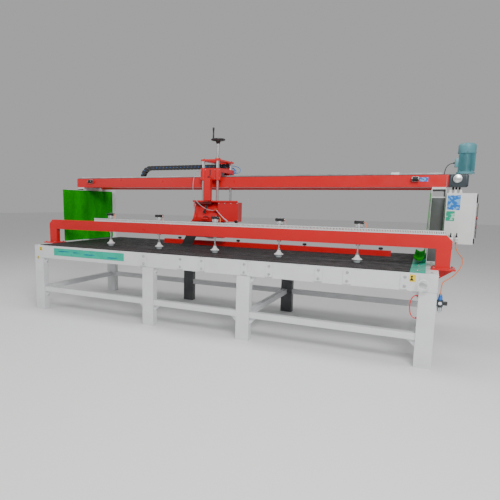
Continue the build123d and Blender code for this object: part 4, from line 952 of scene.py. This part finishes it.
gear = Shape()
gear.prism("y", rounded_outline((4592, 4763), (1565, 1688), 14), 934, 1058)
for x0, x1 in ((4604, 4620), (4732, 4748)):
    gear.box((x0, x1), (933, 1059), (1570, 1684))
for z in (1580, 1600, 1620, 1640, 1660):
    gear.box((4590.4, 4594), (940, 1052), (z, z + 5))
    gear.box((4762, 4764.8), (940, 1052), (z, z + 5))
gear.ring("y", OUTPUT, 46, 40, 926, 936, 48)
gear.piece("gearbox_casting", "dark_paint", replaces=["gearbox"], bevel=2)
hub = Shape()
hub.turned("y", OUTPUT, [(22, 924.5), (24, 925.5), (39, 927), (40, 929), (40, 934)], 48)
hub.bar("y", OUTPUT, 9, 921, 925, 24)
for index in range(6):
    hub.bar("y", around(OUTPUT, 31, math.radians(60 * index)), 3.4, 924, 928, 12)
hub.piece("gearbox_shaft_cover", "aluminium")
plugs = Shape()
for x, z in ((4608, 1676), (4748, 1574), (4620, 1576)):
    plugs.bar("y", (x, z), 6, 929, 934, 6)
for x in (4640, 4668, 4696):
    plugs.bar("z", (x, 1020), 10, 1547, 1564, 8)
    plugs.bar("z", (x, 1020), 7, 1538, 1548, 20)
plugs.piece("gearbox_plugs", "black_plastic", slot="dark_paint")

# ---------------------------------------------------------------- cabinet

seam = Shape()
seam.prism("x", rounded_outline((836, 1074), (1021, 1496), 6), 4847, 4846.2)
seam.box((4817, 4817.5), (832, 1078), (1017, 1500))
seam.piece("door_gasket", "black_rubber", "door")
lip = Shape()
for y in (829.4, 1079.4):
    lip.box((4586, 4814), (y, y + 1.2), (1018, 1022))
    lip.box((4586, 4814), (y, y + 1.2), (1494, 1498))
for x in (4592, 4806):
    for z in (1030, 1488):
        lip.bar("y", (x, z), 4, 826.5, 830, 16)
lip.piece("cabinet_folds", "cream_paint", bevel=0.4)
louvres = Shape()
for row in range(7):
    z = 1330 + row * 14
    louvres.prism("x", [(1079.8, z), (1083, z + 1), (1079.8, z + 8)], 4640, 4760)
louvres.piece("cabinet_louvres", "cream_paint")
posters = Shape()
posters.prism("y", rounded_outline((4592, 4704), (1342, 1482), 3), 830.05, 829.2)
posters.piece("cabinet_blue_sticker", "blue_sticker", slot="blue_plastic")
posters = Shape()
posters.prism("y", rounded_outline((4590, 4664), (1236, 1330), 3), 830.05, 829.2)
posters.piece("cabinet_green_sticker", "green_sticker", slot="teal_sheet")
latch = Shape()
for z in (1130, 1390):
    latch.bar("x", (858, z), 9, 4846, 4850, 24)
    latch.box((4849.5, 4851), (856.6, 859.4), (z - 6, z + 6))
latch.piece("door_locks", "steel", "door")
plate = Shape()
plate.prism("x", rounded_outline((852, 898), (1076, 1407), 5), 4856.9, 4858.2)
for z in (1088, 1396):
    for y in (859, 891):
        plate.bar("x", (y, z), 2.6, 4857, 4859.4, 12)
plate.piece("switch_strip_face", "grey_plastic", "door", "grey_paint", bevel=0.5)
rings = Shape()
rings.ring("x", (875, 1270), 15, 8.3, 4857.6, 4861, 32)
rings.ring("x", (875, 1360), 13, 8.3, 4857.6, 4860, 32)
rings.ring("x", (875, 1180), 17, 8.6, 4857.4, 4858.0, 32)
rings.piece("switch_collars", "yellow_label", "door", "white_plastic")
tubes = Shape()
for x in (4645, 4695):
    tubes.ring("z", (x, 815), 9, 4.6, 1026, 1035, 24)
tubes.ring("z", (4645, 815), 8, 4.0, 1022, 1028, 6)
tubes.piece("valve_fittings", "steel")
faces = Shape()
for x in (4645, 4695):
    faces.bar("y", (x, 1090), 12, 799.5, 802.3, 24)
    faces.box((x - 14, x + 14), (800.8, 803), (1040, 1074))
faces.piece("valve_plates", "aluminium", bevel=0.4)
tube_route = [(4645, 815, 1027), (4643, 812, 1012), (4632, 770, 1008), (4618, 660, 1040), (4604, 540, 1078),
              (4592, 440, 1105), (4582, 380, 1120), (4560, 362, 1132)]
clamp_line = Shape()
smooth_route = []
for index in range(len(tube_route) - 1):
    for step in range(6):
        t = step / 6
        p0 = Vector(tube_route[max(index - 1, 0)])
        p1, p2 = Vector(tube_route[index]), Vector(tube_route[index + 1])
        p3 = Vector(tube_route[min(index + 2, len(tube_route) - 1)])
        place = 0.5 * (2 * p1 + (p2 - p0) * t + (2 * p0 - 5 * p1 + 4 * p2 - p3) * t ** 2
                       + (3 * p1 - p0 - 3 * p2 + p3) * t ** 3)
        smooth_route.append(tuple(place))
smooth_route.append(tube_route[-1])
clamp_line.pipe(smooth_route, 4, 12)
clamp_line.piece("clamp_supply_tube", "orange_hose")

# ---------------------------------------------------------------- air service unit

service = Shape()
service.prism("x", rounded_outline((10, 70), (530, 660), 5), 4550.2, 4553)
service.prism("z", rounded_outline((4553, 4600), (18, 62), 5), 547, 598)
service.piece("service_body", "dark_paint", replaces=["air_service_unit"], bevel=0.8)
bowl = Shape()
bowl.turned("z", SERVICE, [(4, 490), (8, 490.6), (9, 496), (14, 502), (16, 510), (16, 544), (17.5, 546),
                                (17.5, 549)], 40)
bowl.piece("service_bowl", "clear_cup", slot="blue_plastic")
guards = Shape()
for index in range(8):
    guards.bar("z", around(SERVICE, 16.4, 2 * math.pi * index / 8), 1.3, 506, 545, 8)
guards.ring("z", SERVICE, 18, 16, 538, 547, 40)
guards.piece("service_bowl_guard", "black_plastic")
top = Shape()
top.turned("z", SERVICE, [(15, 598), (17, 600), (17, 622), (14.5, 624), (14.5, 638), (12, 640)], 40)
top.piece("service_filter_head", "blue_plastic")
service_nut = Shape()
service_nut.ring("z", SERVICE, 11, 4.4, 639, 650, 6)
service_nut.piece("service_hose_nut", "steel")
gauge = Shape()
gauge.turned("y", (4576.5, 574), [(15, 17.9), (15, 13), (14, 11.5), (12.5, 11.2), (12.5, 12.2), (0.4, 12.2)], 40)
gauge.piece("service_gauge", "chrome")
grip, knob_axis = Shape(), (40, 572.5)
for index in range(20):
    grip.bar("x", around(knob_axis, 15.8, 2 * math.pi * index / 20), 1.6, 4604, 4629, 8)
grip.bar("x", knob_axis, 15.6, 4600.6, 4631.6, 40)
grip.piece("regulator_grip", "black_plastic", "regulator", replaces=["regulator_knob"])

# ---------------------------------------------------------------- carriage

# The head's plate, narrower towards the back than at the hood.
plate_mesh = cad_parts["head_plate"].data.copy()
plate_mesh.name = "head_plate_tapered"
for vertex in plate_mesh.vertices:
    if vertex.co.x > at(2300, 0, 0).x and vertex.co.y > at(0, 1100, 0).y:
        vertex.co.x = at(2172, 0, 0).x
head_plate = bpy.data.objects.new("head_plate_tapered", plate_mesh)
SCENE.collection.objects.link(head_plate)
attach(head_plate, "head")
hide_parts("head_plate")

saddle = Shape()
for x in RODS_X:
    for y in RODS_Y:
        saddle.ring("z", (x, y), 26, 17.7, 1787, 1790.5, 32)
    saddle.ring("z", (x, RODS_Y[0]), 26, 17.7, 1640.6, 1644.2, 32)
saddle.piece("rod_wipers", "black_rubber", "carriage")
screws = Shape()
for x in (1905, 1960, 2090, 2145):
    for z in (1668, 1770):
        screws.bar("y", (x, z), 5.5, 853, 858.2, 16)
for x in (1925, 2125):
    for y in (940, 980, 1180, 1220):
        screws.bar("z", (x - 16, y), 6, 1751.8, 1757, 16)
        screws.bar("z", (x + 16, y), 6, 1751.8, 1757, 16)
screws.piece("saddle_screws", "steel", "carriage")
slot = Shape()
slot.prism("y", rounded_outline((2019, 2031), (1700, 1772), 5.9), 858.1, 857.3)
slot.piece("saddle_slot", "black_plastic", "carriage")
blocks = Shape()
for x in RODS_X:
    for y in (960, 1200):
        for way in (-1, 1):
            blocks.box((x + way * 30 - 1.6, x + way * 30 + 1.6), (y - 30, y + 30), (1690, 1738))
blocks.piece("guide_block_seals", "dark_paint", "carriage")
grip = Shape()
grip.turned("y", (1986, 1615), [(7, 843.5), (10, 840), (10.5, 832), (8, 829.5)], 24)
grip.piece("lock_lever_grip", "black_plastic", "carriage_lock")
nut = Shape()
nut.ring("z", SCREW, 30, 15.3, 1924.5, 1930, 40)
for index in range(4):
    nut.bar("z", around(SCREW, 25, math.radians(45 + 90 * index)), 3.6, 1929.5, 1933, 16)
nut.piece("lift_nut_flange", "brass_nut", "head", "steel")
rod_caps = Shape()
for x in RODS_X:
    for y in RODS_Y:
        rod_caps.turned("z", (x, y), [(11, 1900.5), (11, 1905), (9.6, 1906.5)], 6)
        rod_caps.ring("z", (x, y), 17, 11.5, 1893, 1895, 32)
rod_caps.piece("rod_end_bolts", "steel", "head")
thread = Shape()
lead, turn_steps, thread_bottom, thread_top = 5, 16, 1936, 2096
route = []
for step in range((thread_top - thread_bottom) * turn_steps // lead):
    route.append((*around(SCREW, 14.5, 2 * math.pi * step / turn_steps), thread_bottom + lead * step / turn_steps))
thread.pipe(route, 0.56, 5)
thread.piece("lift_screw_thread", "steel", "screw", smooth=60)

# Handwheel: a rim with a finger grip inside, three spokes and a hub
wheel = Shape()
rim_steps, profile_steps, rim_radius, rim_half = 72, 12, 78, 11.6
points, faces = [], []
for index in range(rim_steps):
    angle = 2 * math.pi * index / rim_steps
    for part in range(profile_steps):
        tilt = 2 * math.pi * part / profile_steps
        scallop = 0.7 * math.cos(8 * angle) if math.cos(tilt) < 0 else 0
        reach = rim_radius + (rim_half + scallop) * math.cos(tilt)
        points.append((*around(SCREW, reach, angle), 2150 + 10.8 * math.sin(tilt)))
for index in range(rim_steps):
    for part in range(profile_steps):
        a, b = index * profile_steps, ((index + 1) % rim_steps) * profile_steps
        after = (part + 1) % profile_steps
        faces.append((a + part, b + part, b + after, a + after))
wheel.add(points, faces)
for index in range(3):
    angle = math.radians(30 + 120 * index)
    c, s = math.cos(angle), math.sin(angle)
    points = []
    for z0, z1, reach, half in ((2141, 2157, 16, 11), (2145, 2156, 72, 8)):
        for z in (z0, z1):
            for side in (-1, 1):
                points.append((SCREW[0] + c * reach - s * half * side, SCREW[1] + s * reach + c * half * side, z))
    wheel.add(points, [tuple(reversed(face)) for face in BOX_FACES])
wheel.turned("z", SCREW, [(18, 2100), (19, 2101), (38, 2141), (30, 2146), (27, 2158), (24, 2160.5),
                                 (16, 2161), (15, 2159), (0.5, 2158.5)], 40)
crank_axis = around(SCREW, 75, math.radians(-117))
wheel.bar("z", crank_axis, 11, 2144, 2160.8, 24)
wheel.piece("handwheel_rim", "black_plastic", "screw", replaces=["handwheel"], smooth=50)
crank = Shape()
crank.turned("z", crank_axis, [(6, 2161.6), (9, 2163), (10.5, 2180), (9, 2205), (9.5, 2240), (12, 2268),
                                     (13, 2280), (11, 2287.5), (6, 2290)], 32)
crank.bar("z", crank_axis, 3.9, 2142, 2163, 16)
crank.piece("crank_handle", "black_plastic", "crank", replaces=["crank_knob"], smooth=50)
loops = Shape()
for shift, rise, depth in ((0, 0, 0), (8, -14, 12), (-6, 9, -10)):
    route = []
    for step in range(25):
        t = step / 24
        bulge = math.sin(math.pi * t)
        route.append((2060 + shift + 110 * bulge, 1340 - 100 * t + depth * bulge, 1842 + rise * bulge - 105 * t))
    loops.pipe(route, 5, 10)
loops.piece("carriage_blue_hoses", "blue_hose", "carriage", "blue_plastic")

# ---------------------------------------------------------------- saw head

hood = Shape()
for x in (1808, 2130):
    for z in (1175, 1365):
        hood.box((x - 1.2, x + 1.2), (973, 987), (z - 12, z + 12))
hood.bead((1812, 852, 1378), (1812, 900, 1378), 1.6)
hood.prism("y", [(1812, 1376), (1820, 1376), (1868, 1170), (1860, 1168)], 846, 843)
hood.piece("hood_folds", "red_paint", "head", bevel=0.6)
# Dark red band at the top of the hood: painted shadow under the head plate's overhang.
dark = Shape()
dark.prism("y", rounded_outline((1826, 2052), (1358, 1381.5), 3), 921, 846)
dark.piece("hood_recess_painted_shadow", "painted_shade_red", "head", "red_paint")
bolts_head = Shape()
for x in (1840, 2000, 2080):
    bolts_head.bolt("z", (x, 800), HEAD_PLATE_TOP, HEAD_PLATE_TOP + 9, 6)
for x in (1830, 2370):
    bolts_head.bolt("z", (x, 1280), HEAD_PLATE_TOP, HEAD_PLATE_TOP + 9, 8)
for index in range(4):
    bolts_head.bar("y", (2156 + index * 78.7, 1370), 6.6, 841, 845.2, 6)
bolts_head.piece("head_bolts", "chrome", "head", "steel")
junction = Shape()
junction.prism("y", rounded_outline((1758.5, 1808), (1270.5, 1359.5), 6), 929.8, 926.5)
for x in (1766, 1800):
    for z in (1280, 1350):
        junction.bar("y", (x, z), 3, 925.6, 928, 12)
junction.box((1757.4, 1760), (932, 983), (1272, 1358))
junction.bar("z", (1783, 957), 9, 1255, 1270.5, 6)
junction.piece("junction_box_lid", "white_plastic", "head", bevel=0.8)
weld_head = Shape()
for x in (1981, 2061):
    weld_head.bead((x, 782, HEAD_PLATE_TOP), (x, 862, HEAD_PLATE_TOP), 2)
for y in (782, 862):
    weld_head.bead((1981, y, HEAD_PLATE_TOP), (2061, y, HEAD_PLATE_TOP), 2)
weld_head.piece("head_post_welds", "red_paint", "head")
valve = Shape()
valve.ring("x", (849, 1282), 15, 4.6, 2088, 2096, 32)
valve.bar("y", (2118, 1282), 12, 838, 846, 24)
valve.prism("z", [(2100, 840), (2136, 846), (2134, 854), (2100, 849)], 1296, 1301)
valve.piece("water_valve_handle", "green_plastic", "head", "teal_sheet")
for shift, name, material in ((0, "head_white_tube", "white_plastic"), (9, "head_blue_tube", "blue_hose"),
                              (18, "head_orange_tube", "orange_hose")):
    tube_shape = Shape()
    route = []
    for step in range(17):
        t = step / 16
        bulge = math.sin(math.pi * t)
        route.append((2131 + 150 * t + shift, 834 - shift * 0.5 + 8 * bulge,
                      1284 - shift * 1.2 - 128 * t - 12 * bulge))
    tube_shape.pipe(route, 3.6, 10)
    tube_shape.piece(name, material, "head", "white_plastic")
lever = Shape()
lever.turned("y", (1984, 1332), [(9, 846), (12, 843), (12, 830), (9, 826)], 24)
lever.piece("hood_lever_grip", "black_plastic", "hood_clamp")
pull = Shape()
route = []
for step in range(21):
    angle = math.pi * step / 20
    route.append((1990 - 34 * math.cos(angle), 832 - 4 * math.sin(angle), 1190 + 20 * math.sin(angle)))
pull.pipe(route, 4, 10)
pull.piece("hood_arc_handle", "black_plastic", "head")
knob = Shape()
knob.prism("y", lobed_outline((2392, 1158), 17, 1.6, 6, 72), 827.4, 806)
knob.piece("cover_knob", "black_plastic", "head", bevel=1.5)

blade, segments = Shape(), 20
outline = []
for index in range(segments):
    for part, radius in ((0.0, 161), (0.03, 161), (0.05, 174.8), (0.5, 174.8), (0.93, 174.8), (0.95, 161)):
        outline.append(around(BLADE, radius, 2 * math.pi * (index + part) / segments))
blade.prism("y", outline, 1012.6, 1015.4)
blade.piece("blade_disc", "steel", "blade", replaces=["saw_blade"])
segment_shape = Shape()
for index in range(segments):
    corners = ((0.06, 164), (0.92, 164), (0.92, 175), (0.5, 175), (0.06, 175))
    outline = [around(BLADE, radius, 2 * math.pi * (index + part) / segments) for part, radius in corners]
    segment_shape.prism("y", outline, 1012, 1016)
segment_shape.piece("blade_segments", "aluminium", "blade", "steel")
arbor = Shape()
arbor.ring("y", BLADE, 34, 15.2, 1008, 1012, 40)
arbor.turned("y", BLADE, [(24, 1008), (24, 999), (20, 997)], 6)
arbor.piece("blade_flange_nut", "steel", "blade")
# Darker red strip along the foot of the blade guard: painted shade of its lower edge; the four screw heads on the
# guard share this darker red.
guard = Shape()
guard.box((1690, 2150), (985.4, 988.2), (941, 953))
for x in (1700, 1830, 1960, 2090):
    guard.bar("y", (x, 1100), 6, 983, 988.2, 16)
guard.piece("guard_lip_painted_shade", "painted_shade_red", "head", "red_paint", bevel=0.5)
tip = Shape()
tip.turned("z", (2140, 976), [(5, 938), (6, 940), (6, 968), (9, 970), (9, 984)], 24)
tip.box((2128, 2152), (972, 989), (975, 985))
tip.piece("water_nozzle", "green_plastic", "head", "teal_sheet")
fins = Shape()
for index in range(36):
    fins.fin("y", BLADE, 2 * math.pi * index / 36, ((74, 1.5), (85, 1.0)), (1075, 1250))
fins.ring("y", BLADE, 85, 15.3, 1056, 1072, 48)
fins.turned("y", BLADE, [(75, 1072), (75, 1256), (84, 1256), (84, 1278), (72, 1290), (0.5, 1290)], 48)
fins.piece("saw_motor_fins", "blue_grey_paint", "head", replaces=["saw_motor"])

# ---------------------------------------------------------------- turf curtains and rubber flap


def cloth(name, columns, rows, place, material):
    """Sheet made from a grid: place(u, v) gives a point for u and v from 0 to 1."""
    mesh = bpy.data.meshes.new(name)
    points = [tuple(at(*place(u / columns, v / rows))) for v in range(rows + 1) for u in range(columns + 1)]
    faces = []
    for v in range(rows):
        for u in range(columns):
            a = v * (columns + 1) + u
            faces.append((a, a + 1, a + columns + 2, a + columns + 1))
    mesh.from_pydata(points, [], faces)
    mesh.materials.append(MATERIALS[material])
    item = bpy.data.objects.new(name, mesh)
    SCENE.collection.objects.link(item)
    modifier = item.modifiers.new("thickness", "SOLIDIFY")
    modifier.thickness = SHEET_THICKNESS / 1000
    modifier.offset = 0
    solid = evaluated(item)
    item.modifiers.clear()
    item.data = solid
    smoothed(item, 60)
    return item


def hanging(u, v):
    """Left curtain: hangs from its top edge, with soft waves that grow towards its foot."""
    loose = (1 - v) ** 1.2
    wave = 3.2 * math.sin(u * 21 + 1.3) + 2.2 * math.sin(u * 43 + v * 3)
    return 8 + (4 + wave) * loose, 505 + CURTAIN_WIDTH * u, 829 + (CURTAIN_TOP - 829) * v


left_curtain = cloth("left_turf_curtain", 90, 44, hanging, "turf")
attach(left_curtain, "machine")
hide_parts("side_curtains")


def curled(u, v):
    """Right curtain: hangs straight, then its foot turns out over the run-off sheet."""
    base_x, lean, straight, radius = 4443, 0.02, 622, 42
    y = 597 + CURTAIN_WIDTH * u
    run = (1 - v) * 745
    wave = 2.4 * math.sin(u * 19) * (1 - v)
    if run <= straight:
        return base_x - lean * run + wave, y, CURTAIN_TOP - run
    rest = run - straight
    angle = min(rest / radius, math.radians(120))
    extra = rest - angle * radius
    x = base_x - lean * straight - radius * (1 - math.cos(angle)) - extra * math.sin(angle)
    z = CURTAIN_TOP - straight - radius * math.sin(angle) - extra * math.cos(angle)
    return x + wave * 0.5, y, z


right_curtain = cloth("right_turf_curtain", 90, 90, curled, "turf")
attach(right_curtain, "machine")
hem = Shape()
for x, start_y, screw_start, screw_stop in ((3.6, 505, 3.6, 8.2), (4443.5, 596, 4442.7, 4446.5)):
    hem.box((x, x + 2.8), (start_y, start_y + 1042), (1497, 1520))
    for y in range(start_y + 20, start_y + 1042, 100):
        hem.bar("x", (y, 1508), 7, screw_start, screw_stop, 16)
hem.piece("curtain_clamp_strips", "steel")


def flap_place(u, v):
    """Rubber flap: hangs in front of the guard, slants to the left, then folds forward on the mat."""
    drop, radius = 128, 14
    run = (1 - v) * 250
    fall = min(run, drop)
    x = 1640 + 152 * u - fall * 0.55
    z = 966 - fall
    y = 983 - 8 * math.sin(u * 4) * fall / drop
    if run > drop:
        rest = run - drop
        angle = min(rest / radius, math.radians(88))
        extra = rest - angle * radius
        y -= radius * (1 - math.cos(angle)) + extra
        z -= radius * math.sin(angle) - 2.0
        z = max(z, 825.6)
        x += extra * 0.35
    return x, y, z


flap = cloth("rubber_splash_flap", 16, 40, flap_place, "black_rubber")
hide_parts("splash_flap")
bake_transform(flap)
grip = Shape()
grip.box((1636, 1796), (980.5, 985.5), (956, 970))
for x in (1660, 1716, 1772):
    grip.bar("y", (x, 963), 5, 976.5, 981, 6)
grip.piece("flap_clamp", "steel", "head")

# ---------------------------------------------------------------- stage

floor_mesh = bpy.data.meshes.new("floor")
floor_mesh.from_pydata([(-40, -40, 0), (40, -40, 0), (40, 40, 0), (-40, 40, 0)], [], [(0, 1, 2, 3)])
floor = bpy.data.objects.new("floor", floor_mesh)
SCENE.collection.objects.link(floor)
floor_mesh.materials.append(surface("floor", (0.86, 0.86, 0.86), 0.9, mottle=0.004, grain=0, edge=0))

world = bpy.data.worlds.new("world")
SCENE.world = world
world.use_nodes = True
background = world.node_tree.nodes["Background"]
background.inputs["Color"].default_value = (1, 1, 1, 1)
background.inputs["Strength"].default_value = 0.42


def light(name, place, target, size, power):
    data = bpy.data.lights.new(name, "AREA")
    data.shape = "RECTANGLE"
    data.size, data.size_y = size
    data.energy = power
    item = bpy.data.objects.new(name, data)
    SCENE.collection.objects.link(item)
    item.location = place
    item.rotation_euler = (Vector(target) - Vector(place)).to_track_quat("-Z", "Y").to_euler()


light("key", (3.5, -5.5, 5.0), (0, 0, 0.8), (3, 2.4), 400)
light("fill", (-5.0, -4.5, 3.5), (0, 0, 0.8), (4, 3), 60)
light("top", (0, 0, 6.0), (0, 0, 0.8), (6, 2), 150)
